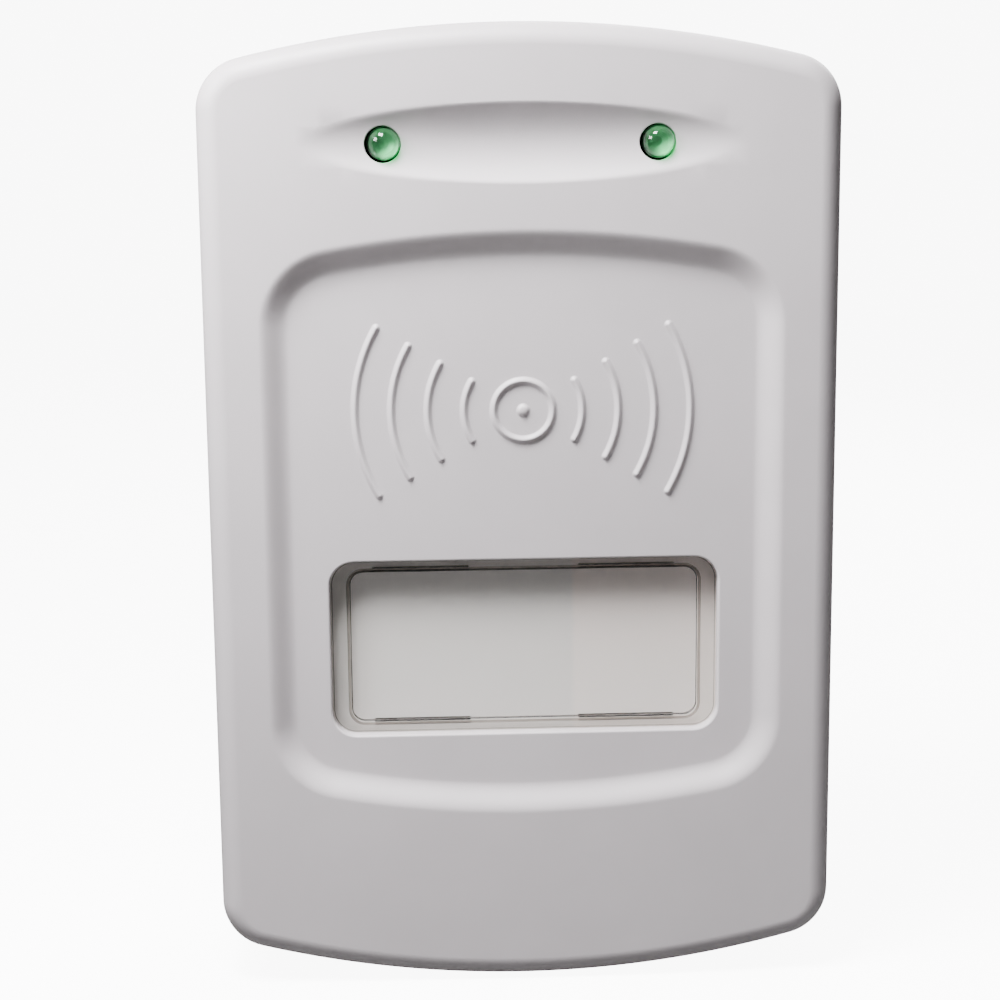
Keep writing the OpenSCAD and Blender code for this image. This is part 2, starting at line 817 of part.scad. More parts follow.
module transducer_cup() {
    color("dimgray") from_centre() {
        at_cup(cup_low) difference() {
            cylinder(r = cup_r, h = cup_h);
            translate([0, 0, -cut]) cylinder(r = cup_r - cup_wall, h = plate_z - cup_low + cut);
            cylinder(r = cup_r - 2 * cup_wall, h = cup_h - cup_wall);
            for (x = [-3, 3]) translate([x, 0, 0]) cylinder(r = thin_wire_r + 0.1, h = cup_h + cut);
        }
        for (i = [-1, 1]) difference() {
            box(min(i * ear_root, i * ear_tip), max(i * ear_root, i * ear_tip),
                cup_y - ear_t / 2, cup_y + ear_t / 2, ear_z - ear_w / 2, ear_z + ear_w / 2);
            bar(i * ear_x, ear_z, small_screw_r + gap, cup_y - ear_t, cup_y + ear_t);
            at_cup(cup_low) cylinder(r = cup_r - cup_wall / 2, h = cup_h);
        }
    }
}

module transducer_cone() {
    h = plate_z - cup_low - 1.5;
    t = 0.5;
    mouth = cup_r - cup_wall - 0.6;
    color("silver") from_centre() at_cup(plate_z - h - plate_t) rotate_extrude()
        polygon([[mouth, 0], [mouth, t], [2, h], [0, h], [0, h - t], [2 - t, h - t], [mouth - 1, 0]]);
}

module piezo_plate() {
    color("gold") from_centre() at_cup(plate_z - plate_t) cylinder(r = cup_r - cup_wall - 0.1, h = plate_t);
}

module piezo_ceramic() {
    color("ivory") from_centre() at_cup(plate_z) cylinder(r = cup_r - 5, h = ceramic_t);
}

module transducer_gasket() {
    color("black") from_centre() at_cup(cup_low - gasket_t) difference() {
        cylinder(r = cup_r, h = gasket_t);
        translate([0, 0, -cut]) cylinder(r = cup_r - 2, h = gasket_t + 2 * cut);
    }
}

module transducer_screws() {
    color("silver") from_centre() for (i = [-1, 1]) translate([i * ear_x, 0, ear_z])
        back_screw(cup_y - ear_t / 2, cup_y + 7);
}

// ---- Slide switch ----

module switch_base() {
    slot = lever_t + switch_travel + 2 * play;
    color("saddlebrown") from_centre() translate([switch_x, switch_y, switch_z]) difference() {
        box(-switch_w + can_t, -can_t, -switch_h / 2 + can_t, switch_h / 2,
            -switch_l / 2 + 0.1, switch_l / 2 - 0.1);
        box(-lever_foot - can_t - play, 0, -lever_t / 2 - play, lever_t / 2 + play, -slot / 2, slot / 2);
    }
}

// Folded steel can over the base, open towards the pins
module switch_can() {
    slot = lever_t + switch_travel + 2 * play;
    color("silver") from_centre() translate([switch_x, switch_y, switch_z]) difference() {
        box(-switch_w, 0, -switch_h / 2, switch_h / 2, -switch_l / 2, switch_l / 2);
        box(-switch_w + can_t, -can_t, -switch_h / 2 + can_t, switch_h / 2 + cut,
            -switch_l / 2 - cut, switch_l / 2 + cut);
        box(-can_t - cut, cut, -lever_t / 2 - play, lever_t / 2 + play, -slot / 2, slot / 2);
    }
}

module switch_pins() {
    color("gold") from_centre() for (i = [-1:1])
        translate([switch_x - switch_w / 2, 0, switch_z + i * 2.5])
            bar(0, 0, 0.35, switch_y + switch_h / 2, board_front_y);
}

module switch_lever() {
    color("black") from_centre()
        box(switch_x - can_t - lever_foot, in_x + 1, switch_y - lever_t / 2, switch_y + lever_t / 2,
            lever_z - lever_t / 2, lever_z + lever_t / 2);
}

// Thumb piece outside the wall, with a skirt inside that always covers the opening
module switch_knob() {
    skirt_l = knob_l + 2 * switch_travel + 4 * play + 2 * skirt_margin;
    skirt_w = knob_w + 2 * play + 2 * skirt_margin;
    out_x = body_w / 2 + knob_out;
    skirt_x = in_x - skirt_gap;
    socket = lever_t + 0.04;
    color("dimgray") from_centre() translate([0, switch_y, lever_z]) difference() {
        union() {
            box(skirt_x - skirt_t, out_x, -knob_w / 2, knob_w / 2, -knob_l / 2, knob_l / 2);
            box(skirt_x - skirt_t, skirt_x, -skirt_w / 2, skirt_w / 2, -skirt_l / 2, skirt_l / 2);
        }
        box(0, in_x + 1 + gap, -socket / 2, socket / 2, -socket / 2, socket / 2);
        for (z = [-1.6:0.8:1.6]) box(out_x - 0.35, out_x + cut, -knob_w, knob_w, z - 0.2, z + 0.2);
    }
}

// ---- Wires ----

function unit(v) = v / norm(v);
function spline(a, b, c, d, t) =
    0.5 * (2 * b + (c - a) * t + (2 * a - 5 * b + 4 * c - d) * t * t + (3 * b - a - 3 * c + d) * t * t * t);

// A smooth path through the hand-placed points
function path(p) =
    let (n = len(p) - 1)
    concat(
        [for (i = [0:n - 1]) for (k = [0:wire_steps - 1])
            spline(p[max(i - 1, 0)], p[i], p[i + 1], p[min(i + 2, n)], k / wire_steps)],
        [p[n]]
    );

function ring(p, t, r) =
    let (u = unit(cross(t, [1, 1, -1])), v = cross(t, u))
    [for (i = [0:wire_sides - 1]) let (a = 360 * i / wire_sides) p + r * (cos(a) * u + sin(a) * v)];

module wire(points, r) {
    p = path(points);
    m = len(p);
    n = wire_sides;
    last = len(points) - 1;
    tangents = concat(
        [unit(points[1] - points[0])],
        [for (i = [1:m - 2]) unit(p[i + 1] - p[i - 1])],
        [unit(points[last] - points[last - 1])]
    );
    polyhedron(
        [for (i = [0:m - 1]) for (q = ring(p[i], tangents[i], r)) q],
        concat(
            [[for (i = [0:n - 1]) i]],
            [for (k = [0:m - 2]) for (i = [0:n - 1])
                [k * n + i, (k + 1) * n + i, (k + 1) * n + (i + 1) % n]],
            [for (k = [0:m - 2]) for (i = [0:n - 1])
                [k * n + i, (k + 1) * n + (i + 1) % n, k * n + (i + 1) % n]],
            [[for (i = [n - 1:-1:0]) (m - 1) * n + i]]
        )
    );
}

// From a blade's solder tab to the back of the main board
function mains_route(side) =
    let (x = side * (blade_spacing / 2 + blade_t / 2 + wire_r), z = plug_rise)
    [
        [x, -10.5, z - 2], [x, -10.5, z - 5], [x + side * 4, -10.5, z - 8],
        [x + side * 14, -10.5, z - 8], [x + side * 16, 2 - board_y, z - 8], [x + side * 16, -board_y, z - 8]
    ];

module live_wire() { color("black") from_centre() wire(mains_route(1), wire_r); }
module neutral_wire() { color("white") from_centre() wire(mains_route(-1), wire_r); }

module night_light_leads() {
    top = board_low + 2;
    y = light_board_y + light_board_t;
    color("red") from_centre() for (x = [-4, 4])
        wire([[x, board_front_y, top], [x, board_front_y - 2, top], [x, y + 3, top - 5],
            [x, y + 2, window_z + 4], [x, y, window_z + 4]], thin_wire_r);
}

module transducer_leads() {
    color("orangered") from_centre() for (side = [-1, 1])
        wire([[side * 12, board_front_y, board_low + 2], [side * 12, board_front_y - 2, board_low + 2],
            [side * 12, board_front_y - 2, board_low - 4], [side * 8, cup_y, cup_high + 16],
            [side * 3, cup_y, cup_high + 6], [side * 3, cup_y, cup_high + 1],
            [side * 3, cup_y, plate_z + ceramic_t]], thin_wire_r);
}

front_cover();
rear_housing();
housing_screws();
rating_label();
window_lens();
light_diffuser();
light_reflector();
night_light_board();
night_light_leds();
night_light_resistors();
night_light_screws();
night_light_leads();
left_led_lens();
right_led_lens();
left_led_leads();
right_led_leads();
left_led_spacer();
right_led_spacer();
neutral_blade();
live_blade();
blade_retainer();
retainer_screws();
live_wire();
neutral_wire();
main_board();
board_screws();
fuse();
film_capacitor();
bleed_resistor();
rectifier_diodes();
zener_diode();
filter_capacitor();
supply_capacitor();
driver_ic();
driver_transistors();
transformer_core();
transformer_bobbin();
transformer_winding();
ceramic_capacitors();
signal_resistors();
transducer_cup();
transducer_cone();
piezo_plate();
piezo_ceramic();
transducer_gasket();
transducer_screws();
transducer_leads();
switch_base();
switch_can();
switch_pins();
switch_lever();
switch_knob();
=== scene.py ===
"""Looks of a plug-in ultrasonic pest repeller, built round its packed frame."""

import json
import math

import bpy
import numpy as np
from bpy.props import FloatProperty, FloatVectorProperty, PointerProperty
from mathutils import Euler, Matrix, Vector
from mathutils.geometry import delaunay_2d_cdt


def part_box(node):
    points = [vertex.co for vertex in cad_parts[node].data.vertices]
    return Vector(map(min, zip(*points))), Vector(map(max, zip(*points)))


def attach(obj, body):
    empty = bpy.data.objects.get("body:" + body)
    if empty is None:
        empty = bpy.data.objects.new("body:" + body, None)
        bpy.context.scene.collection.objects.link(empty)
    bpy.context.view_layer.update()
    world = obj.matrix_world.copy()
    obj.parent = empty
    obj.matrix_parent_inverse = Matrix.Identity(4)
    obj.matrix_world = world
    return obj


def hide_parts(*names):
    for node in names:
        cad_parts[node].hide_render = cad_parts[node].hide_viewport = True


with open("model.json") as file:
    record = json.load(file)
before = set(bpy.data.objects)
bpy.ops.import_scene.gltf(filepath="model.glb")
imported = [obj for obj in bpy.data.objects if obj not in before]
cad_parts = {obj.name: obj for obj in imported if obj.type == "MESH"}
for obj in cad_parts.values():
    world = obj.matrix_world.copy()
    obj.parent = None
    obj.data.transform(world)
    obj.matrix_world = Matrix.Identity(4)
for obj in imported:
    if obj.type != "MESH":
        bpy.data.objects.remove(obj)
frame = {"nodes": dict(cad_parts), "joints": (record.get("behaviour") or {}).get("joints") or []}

bl_info = {
    "name": "Pest Repeller Looks",
    "version": (1, 0, 0),
    "blender": (4, 5, 0),
    "location": "3D View > Sidebar > Repeller",
    "description": "Builds the visible pieces and finishes of a plug-in pest repeller",
    "category": "Object",
}

MM = 0.001
CASING = "casing"
SWITCH = "night_light_switch"
TIN = (0.66, 0.66, 0.64)
BLACK = (0.012, 0.012, 0.013)


# ---------------------------------------------------------------- settings

def length(name, text, value):
    return FloatProperty(name=name, description=text, default=value * MM, min=0.0, precision=5, unit="LENGTH")


def colour(name, text, value):
    return FloatVectorProperty(name=name, description=text, default=value, size=3, min=0.0, max=1.0,
                               subtype="COLOR")


class CasingSizes(bpy.types.PropertyGroup):
    """Sizes of the two shells"""
    cover_depth: length("Cover depth", "Depth of the front cover to the parting line", 10)
    corner: length("Corner", "Radius of the corners seen from the front", 8)
    top_arch: length("Top arch", "Radius of the arched top edge", 177)
    low_arch: length("Bottom arch", "Radius of the arched bottom edge", 163)
    front_edge: length("Front edge", "Radius of the edge around the front face", 3.5)
    back_edge: length("Back edge", "Radius of the edge around the back", 2)
    seam_edge: length("Seam edge", "Radius of the shells' edges at the parting line", 0.28)
    wall: length("Wall", "Thickness of the walls", 2.2)
    back_wall: length("Back wall", "Thickness of the flat back", 2.5)
    slot_pitch: length("Slot pitch", "Distance between the sound slots", 3)
    slot_width: length("Slot width", "Width of a sound slot", 1.6)
    slot_field: length("Slot field", "Radius of the round field of sound slots", 9.7)
    slot_edge: length("Slot edge", "Radius of the edges of slots and wells", 0.25)
    tongue: length("Tongue", "Thickness of the tongue inside the joint", 1)
    tongue_height: length("Tongue height", "How far the tongue reaches into the cover", 1.5)
    boss: length("Boss", "Radius of the screw bosses", 4.2)
    well: length("Well", "Radius of the screw wells", 3.2)
    well_depth: length("Well depth", "Depth of the screw wells", 12)
    screw_hole: length("Screw hole", "Radius of the holes for the housing's screws", 1.7)
    label_recess: length("Label recess", "Depth of the recess for the label", 0.3)


class PanelSizes(bpy.types.PropertyGroup):
    """Sizes of the recessed panel and its raised motif"""
    side_gap: length("Side gap", "From the casing's side to the panel's rim", 8.4)
    top_gap: length("Top gap", "From the top crown to the panel's rim", 30.1)
    low_gap: length("Bottom gap", "From the bottom crown to the panel's rim", 27.4)
    depth: length("Depth", "Depth of the panel below the face", 2.2)
    slope: length("Slope", "Width of the soft slope around the panel", 4.4)
    corner: length("Corner", "Radius of the panel's corners at its rim", 12)
    wave_pitch: length("Wave pitch", "Distance between neighbouring arcs of the motif", 5.5)
    wave_first: length("First wave", "Radius of the smallest arc of the motif", 9)
    bead_width: length("Bead width", "Half the width of a raised line", 0.75)
    dot: length("Dot", "Radius of the flat top of the motif's dot", 0.4)
    bead_height: length("Bead height", "Height of a raised line", 0.45)


class WindowSizes(bpy.types.PropertyGroup):
    """Sizes of the night-light window"""
    lip: length("Lip", "Width of the lens lip hidden behind the panel", 2.2)
    edge: length("Edge", "Radius of the opening's edge", 0.35)
    corner: length("Corner", "Radius of the opening's corners", 3.8)
    clearance: length("Clearance", "Gap between the lens and the opening", 0.2)
    face_side: length("Face side", "From the opening's side to the raised face", 2.5)
    face_end: length("Face end", "From the opening's top to the raised face", 1.3)
    face_corner: length("Face corner", "Radius of the raised face's corners", 2.6)
    flange_drop: length("Flange drop", "From the panel's floor down to the lens flange", 1.7)
    face_edge: length("Face edge", "Radius of the raised face's edge", 0.3)
    lip_depth: length("Lip depth", "Thickness of the lens lip", 1.3)
    face_depth: length("Face depth", "Thickness of the raised face", 1.2)
    rim: length("Rim", "Thickness of the wall round the lens pocket", 0.5)
    tab_reach: length("Tab reach", "How far the snap tabs stand behind the lens", 3)
    tab_length: length("Tab length", "Length of a snap tab", 15)
    tab_width: length("Tab width", "Thickness of a snap tab", 0.35)
    tab_place: length("Tab place", "From the middle of the lens to a snap tab's middle", 16)


class LampSizes(bpy.types.PropertyGroup):
    """Sizes of the indicator lamps and their scoop"""
    flange: length("Flange", "How far a lamp's flange stands out", 0.4)
    flange_height: length("Flange height", "Height of a lamp's flange", 1)
    hole_gap: length("Hole gap", "Gap round a lamp in its hole", 0.2)
    hole_off: length("Hole offset", "How far a hole lies left of and below its lamp", 0.13)
    hole_edge: length("Hole edge", "Radius of the hole's edge", 0.15)
    scoop_length: length("Scoop length", "Length of the scoop", 64.4)
    scoop_height: length("Scoop height", "Height of the scoop at its middle", 11.6)
    scoop_depth: length("Scoop depth", "Depth of the scoop at its middle", 2.2)
    scoop_soft: length("Scoop softness", "How softly the scoop meets the face", 0.3)


class FastenerSizes(bpy.types.PropertyGroup):
    """Sizes of the screws, the plug's blades and the switch knob"""
    big_head: length("Housing screw head", "Radius of a housing screw's head", 2.7)
    big_shank: length("Housing screw shank", "Radius of a housing screw's thread", 1.4)
    small_head: length("Small screw head", "Radius of a small screw's head", 2)
    small_shank: length("Small screw shank", "Radius of a small screw's thread", 1)
    thread_depth: length("Thread depth", "Depth of the screw threads", 0.22)
    thread_pitch: length("Thread pitch", "Distance between the turns of a thread", 0.9)
    live_width: length("Live blade width", "Width of the live blade", 6.35)
    neutral_width: length("Neutral blade width", "Width of the neutral blade", 7.94)
    knob_tall: length("Knob height", "Height of the switch knob", 6)
    knob_wide: length("Knob width", "Width of the switch knob", 3.4)
    knob_ridge: length("Knob ridge", "Distance between the knob's ridges", 0.8)
    knob_play: length("Knob play", "Gap round the knob in its slot", 0.3)


class Finishes(bpy.types.PropertyGroup):
    """Colours of the main finishes"""
    casing: colour("Casing", "Off-white moulded plastic", (0.68, 0.632, 0.655))
    lens: colour("Lens", "Clear plastic of the window", (0.98, 0.975, 0.97))
    # Painted shade: a dark tint for the lens's edges, walls and snap tabs, drawing dark lines round the
    # window
    lens_edge: colour("Lens edge", "Clear plastic where its edges look dark", (0.26, 0.23, 0.20))
    lens_flange: colour("Lens flange", "Clear plastic round the raised face", (0.97, 0.965, 0.95))
    diffuser: colour("Diffuser", "Milky sheet behind the window", (0.90, 0.865, 0.84))
    lamp: colour("Lamp", "Tint of the green lamps", (0.19, 0.66, 0.32))
    # Painted shade: a near-black tint on the lower-left rim of the lamps
    lamp_painted_shade: colour("Lamp rim", "Tint of the lamps where they are thickest", (0.003, 0.03, 0.012))
    diffuser_cream: colour("Creamy half", "The warmer right part of the diffuser", (0.99, 0.89, 0.85))
    board: colour("Board", "Solder mask of the boards", (0.02, 0.16, 0.06))
    brass: colour("Brass", "Blades and pins", (0.83, 0.62, 0.30))
    steel: colour("Steel", "Plated screws and the switch can", (0.62, 0.62, 0.60))
    knob: colour("Knob", "Grey of the switch knob", (0.16, 0.165, 0.17))


class StageSettings(bpy.types.PropertyGroup):
    """Camera and light"""
    distance: FloatProperty(name="Distance", description="From the camera to the casing's face",
                            default=0.3, min=0.05, unit="LENGTH")
    elevation: FloatProperty(name="Elevation", description="Camera angle above the horizon",
                             default=0.17245, subtype="ANGLE")
    azimuth: FloatProperty(name="Azimuth", description="Camera angle round the casing",
                           default=-0.03998, subtype="ANGLE")
    roll: FloatProperty(name="Roll", description="Camera roll", default=-0.00973, subtype="ANGLE")
    lens: FloatProperty(name="Lens", description="Focal length on a 36 mm wide sensor", default=71.2,
                        min=10, max=300)
    aim_side: length("Aim side", "How far left of the middle the camera aims", 3.75)
    aim_up: length("Aim up", "How far above the middle the camera aims", 3.02)
    key: FloatProperty(name="Key light", description="Power of the light overhead", default=3.0, min=0,
                       unit="POWER")
    fill: FloatProperty(name="Fill light", description="Power of the light from the left", default=0.35,
                        min=0, unit="POWER")
    back: FloatProperty(name="Back light", description="Power of the light behind", default=4.5, min=0,
                        unit="POWER")
    sky: FloatProperty(name="Surround", description="Light of the surround on the object", default=0.1, min=0)
    floor_glow: FloatProperty(name="Floor glow", description="Extra brightness of the floor as seen",
                              default=9, min=0)
    floor_bounce: FloatProperty(name="Floor bounce", description="How much light the floor throws back",
                                default=0.10, min=0, max=1)


# ---------------------------------------------------------------- outlines

def arc(centre, radius, start, end, steps):
    """Points on an arc and its outward directions; angles are in radians."""
    a = np.linspace(start, end, steps + 1)
    out = np.stack([np.cos(a), np.sin(a)], 1)
    return np.asarray(centre) + radius * out, out


class Arched:
    """An outline with arched ends and rounded corners, in the X-Z plane."""

    def __init__(self, width, top, bottom, top_r, low_r, corner, x=0.0):
        self.half, self.top, self.bottom, self.x = width / 2, top, bottom, x
        self.top_r, self.low_r, self.corner = top_r, low_r, corner
        self.cx = self.half - corner
        self.top_a = math.acos(self.cx / (top_r - corner))
        self.low_a = math.acos(self.cx / (low_r - corner))
        self.zt = top - top_r + (top_r - corner) * math.sin(self.top_a)
        self.zl = bottom + low_r - (low_r - corner) * math.sin(self.low_a)

    def inset(self, d):
        return Arched(2 * (self.half - d), self.top - d, self.bottom + d, self.top_r - d, self.low_r - d,
                      self.corner - d, self.x)

    def points(self, corner=14, crown=40, side=18):
        """Points anticlockwise from the right side's top, with their outward directions."""
        pi, ta, la = math.pi, self.top_a, self.low_a
        parts = [
            arc((self.cx, self.zt), self.corner, 0, ta, corner),
            [v[1:-1] for v in arc((0, self.top - self.top_r), self.top_r, ta, pi - ta, crown)],
            arc((-self.cx, self.zt), self.corner, pi - ta, pi, corner),
            self.side_points(-1, self.zt, self.zl, side),
            arc((-self.cx, self.zl), self.corner, pi, pi + la, corner),
            [v[1:-1] for v in arc((0, self.bottom + self.low_r), self.low_r, pi + la, 2 * pi - la, crown)],
            arc((self.cx, self.zl), self.corner, 2 * pi - la, 2 * pi, corner),
            self.side_points(1, self.zl, self.zt, side),
        ]
        return np.concatenate([p[0] for p in parts]) + [self.x, 0], np.concatenate([p[1] for p in parts])

    def side_points(self, sign, start, end, steps):
        z = np.linspace(start, end, steps + 1)[1:-1]
        return np.stack([np.full_like(z, sign * self.half), z], 1), np.tile([sign, 0.0], (len(z), 1))

    def depth(self, p):
        """Distance in from the outline, exact to a corner's radius inside it."""
        x, z = np.abs(p[:, 0] - self.x), p[:, 1]
        d = np.minimum(self.half - x, self.top_r - np.hypot(x, z - self.top + self.top_r))
        d = np.minimum(d, self.low_r - np.hypot(x, z - self.bottom - self.low_r))
        across = x - self.cx
        for up, angle in ((z - self.zt, self.top_a), (self.zl - z, self.low_a)):
            in_corner = (up > 0) & (math.cos(angle) * up < math.sin(angle) * across)
            d = np.where(in_corner, self.corner - np.hypot(across, up), d)
        return d


def rounded_rect(width, height, corner, z=0.0, x=0.0):
    """A rounded rectangle, as an arched outline whose ends are all but straight."""
    flat = 1000.0
    return Arched(width, z + height / 2, z - height / 2, flat, flat, corner, x)


class Round:
    """A circle with the same words as an arched outline."""

    def __init__(self, at, radius):
        self.at, self.radius = at, radius

    def inset(self, d):
        return Round(self.at, self.radius - d)

    def points(self, corner=8, crown=24, side=8):
        p, out = arc(self.at, self.radius, 0, 2 * math.pi, 4 * corner + 8)
        return p[:-1], out[:-1]

    def depth(self, p):
        return self.radius - np.hypot(*(p - self.at).T)


class Opening:
    """A hole with a rounded edge."""

    def __init__(self, outline, edge, steps=(8, 24, 8)):
        self.outline, self.edge, self.steps = outline, edge, steps
        self.loop = outline.points(*steps)[0]

    def fall(self, p):
        return roll_off(-self.outline.depth(p), self.edge)

    def rings(self):
        return [self.outline.inset(-d).points(*self.steps)[0] for d in roll_steps(self.edge)[1:]]


def circle(centre, radius, steps=48):
    return arc(centre, radius, 0, 2 * math.pi, steps)[0][:-1]


def inside(points, loop):
    """Which points lie inside a closed loop."""
    x, y = points[:, 0, None], points[:, 1, None]
    a, b = loop, np.roll(loop, -1, 0)
    with np.errstate(divide="ignore", invalid="ignore"):
        cross = (b[:, 0] - a[:, 0]) * (y - a[:, 1]) / (b[:, 1] - a[:, 1]) + a[:, 0]
    return (((a[:, 1] > y) != (b[:, 1] > y)) & (x < cross)).sum(1) % 2 == 1


def fill(outer, holes=(), loops=(), lines=(), spots=()):
    """Triangles inside outer and outside the holes; all loops and lines stay as edges. Worked out in mm."""
    points, edges, near = [], [], 1e-4
    for chain, closed in [(c, 1) for c in (outer, *holes, *loops)] + [(c, 0) for c in lines]:
        first, n = len(points), len(chain)
        points += [Vector(p) for p in chain / MM]
        edges += [(first + i, first + (i + 1) % n) for i in range(n if closed else n - 1)]
    points += [Vector(p) for p in np.asarray(spots) / MM] if len(spots) else []
    verts, _, faces, *_ = delaunay_2d_cdt(points, edges, [], 0, near)
    uv, tris = np.array([tuple(v) for v in verts]) * MM, np.array(faces)
    middle = uv[tris].mean(1)
    keep = inside(middle, outer)
    for hole in holes:
        keep &= ~inside(middle, hole)
    return uv, tris[keep]


def grid(outline, step, margin):
    """Evenly spread points well inside an outline."""
    loop = outline.points()[0]
    x, y = (np.arange(loop[:, i].min() + step / 2, loop[:, i].max(), step) for i in (0, 1))
    spots = np.stack(np.meshgrid(x, y), -1).reshape(-1, 2)
    return spots[outline.depth(spots) > margin]


# ---------------------------------------------------------------- surfaces

def unit(v):
    return v / np.maximum(np.linalg.norm(v, axis=-1, keepdims=True), 1e-12)


def soft_floor(h, k):
    """max(h, 0) with its corner rounded over k on both sides."""
    return np.where(h > k, h, np.where(h < -k, 0, (h + k) ** 2 / (4 * k)))


def roll_off(gap, radius):
    """How far an edge's rounding falls, at a distance from the edge."""
    g = np.clip(radius - gap, 0, radius)
    return radius - np.sqrt(np.maximum(radius ** 2 - g ** 2, 0))


def roll_steps(radius):
    """Distances from an edge that follow its rounding closely, and one just beyond it."""
    turns = np.radians((72, 54, 36, 18, 0))
    return [*(radius * (1 - np.sin(turns))), radius * 1.3]


def facing(place, uv):
    """Normals of the surface that place(uv) draws."""
    step = 2e-6
    across, up = np.array([step, 0]), np.array([0, step])
    return unit(np.cross(place(uv + across) - place(uv - across), place(uv + up) - place(uv - up)))


class Shell:
    """Patches of surface with their own normals, welded into one object."""

    def __init__(self):
        self.points, self.normals, self.faces, self.paints = [], [], [], []
        self.count = self.paint = 0

    def add(self, points, faces, normals):
        points, normals = np.asarray(points, float), np.asarray(normals, float)
        self.paints += [self.paint] * len(faces)
        for face in faces:
            p = points[list(face)]
            flat = np.cross(p[1] - p[0], p[2] - p[0])
            if len(face) == 4:
                flat = np.cross(p[2] - p[0], p[3] - p[1])
            turn = (flat * normals[list(face)].mean(0)).sum() < 0
            self.faces.append([self.count + i for i in (reversed(face) if turn else face)])
        self.points.append(points)
        self.normals.append(normals)
        self.count += len(points)

    def sheet(self, place, flat, sign=1):
        """A triangulated flat area put in space by place(uv)."""
        uv, tris = flat
        self.add(place(uv), [tuple(t) for t in tris], sign * facing(place, uv))

    def strip(self, rings, closed=True, normals=None):
        """Quads between rings. Walking front to back on the outside gives outward normals."""
        rings = np.asarray(rings, float)
        rows, n = rings.shape[:2]
        steps = range(n if closed else n - 1)
        faces = [(k * n + i, k * n + (i + 1) % n, (k + 1) * n + (i + 1) % n, (k + 1) * n + i)
                 for k in range(rows - 1) for i in steps]
        if normals is None:
            along = np.roll(rings, -1, 1) - np.roll(rings, 1, 1)
            if not closed:
                along = np.gradient(rings, axis=1)
            size = np.linalg.norm(along, axis=-1, keepdims=True)
            widest = size.max(0, keepdims=True)
            along = np.where(size < widest * 0.01, along[[int(size[:, 0, 0].argmax())]], along)
            normals = unit(np.cross(np.gradient(rings, axis=0), along))
        self.add(rings.reshape(-1, 3), faces, np.asarray(normals).reshape(-1, 3))

    def bands(self, rings, closed=True):
        """Strips with a hard edge at every ring."""
        for a, b in zip(rings[:-1], rings[1:]):
            self.strip([a, b], closed)

    def take(self, other, turn=(0, 0, 0), shift=(0, 0, 0)):
        """Adds a copy of another shell, turned and then shifted."""
        matrix = np.array(Euler(turn).to_matrix())
        for points, normals in zip(other.points, other.normals):
            self.points.append(points @ matrix.T + shift)
            self.normals.append(normals @ matrix.T)
        self.faces += [[self.count + i for i in face] for face in other.faces]
        self.paints += other.paints
        self.count += other.count

    def build(self, name, *finishes):
        """Welds the patches; each face takes the finish of its paint."""
        points, normals = np.concatenate(self.points), np.concatenate(self.normals)
        near = 2e-7
        _, first, index = np.unique(np.round(points / near).astype(np.int64), axis=0, return_index=True,
                                    return_inverse=True)
        index = index.ravel()
        faces, loops, paints = [], [], []
        for face, paint in zip(self.faces, self.paints):
            kept, corner = [], []
            for i in face:
                if index[i] not in kept:
                    kept.append(int(index[i]))
                    corner.append(i)
            if len(kept) > 2:
                faces.append(kept)
                paints.append(paint)
                loops += corner
        mesh = bpy.data.meshes.new(name)
        mesh.from_pydata(points[first].tolist(), [], faces)
        mesh.update()
        mesh.normals_split_custom_set(normals[loops].tolist())
        for finish in finishes:
            mesh.materials.append(finish)
        mesh.polygons.foreach_set("material_index", paints)
        piece = bpy.data.objects.new(name, mesh)
        bpy.context.scene.collection.objects.link(piece)
        return piece


def lift(p, y):
    """Points of the X-Z plane in space, at one depth or at a depth each."""
    return np.stack([p[:, 0], np.broadcast_to(y, len(p)), p[:, 1]], 1)


def flat_ring(outline, y):
    return lift(outline if isinstance(outline, np.ndarray) else outline.points()[0], y)


def flat_at(y):
    return lambda p: lift(p, y)


def bar_ring(x, z, radius, y, steps=32):
    return flat_ring(circle((x, z), radius, steps), y)


def edge_strip(shell, outline, radius, y_end, towards, sweep=(0, 90), steps=9):
    """A rounded edge from a flat end at y_end to the outline's side; towards is the end's normal along Y."""
    rings, normals = [], []
    for a in np.radians(np.linspace(sweep[0], sweep[1], steps + 1)):
        p, out = outline.inset(radius * (1 - math.sin(a))).points()
        y = y_end - towards * radius * (1 - math.cos(a))
        rings.append(flat_ring(p, y))
        normals.append(lift(out * math.sin(a), towards * math.cos(a)))
    shell.strip(rings, normals=normals)


def side_strip(shell, outline, y0, y1, sign=1):
    p, out = outline.points()
    normal = sign * lift(out, 0)
    shell.strip([flat_ring(p, y0), flat_ring(p, y1)], normals=[normal, normal])


def turned(shell, x, z, profile, steps=48):
    """A turned shape along Y with a smooth profile."""
    shell.strip([bar_ring(x, z, r, y, steps) for r, y in profile])


def settle(piece, body, slot, *nodes):
    """Puts a piece on its body and hides the frame nodes it stands for."""
    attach(piece, body)
    if nodes:
        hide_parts(*nodes)
    return piece


# ---------------------------------------------------------------- shader words

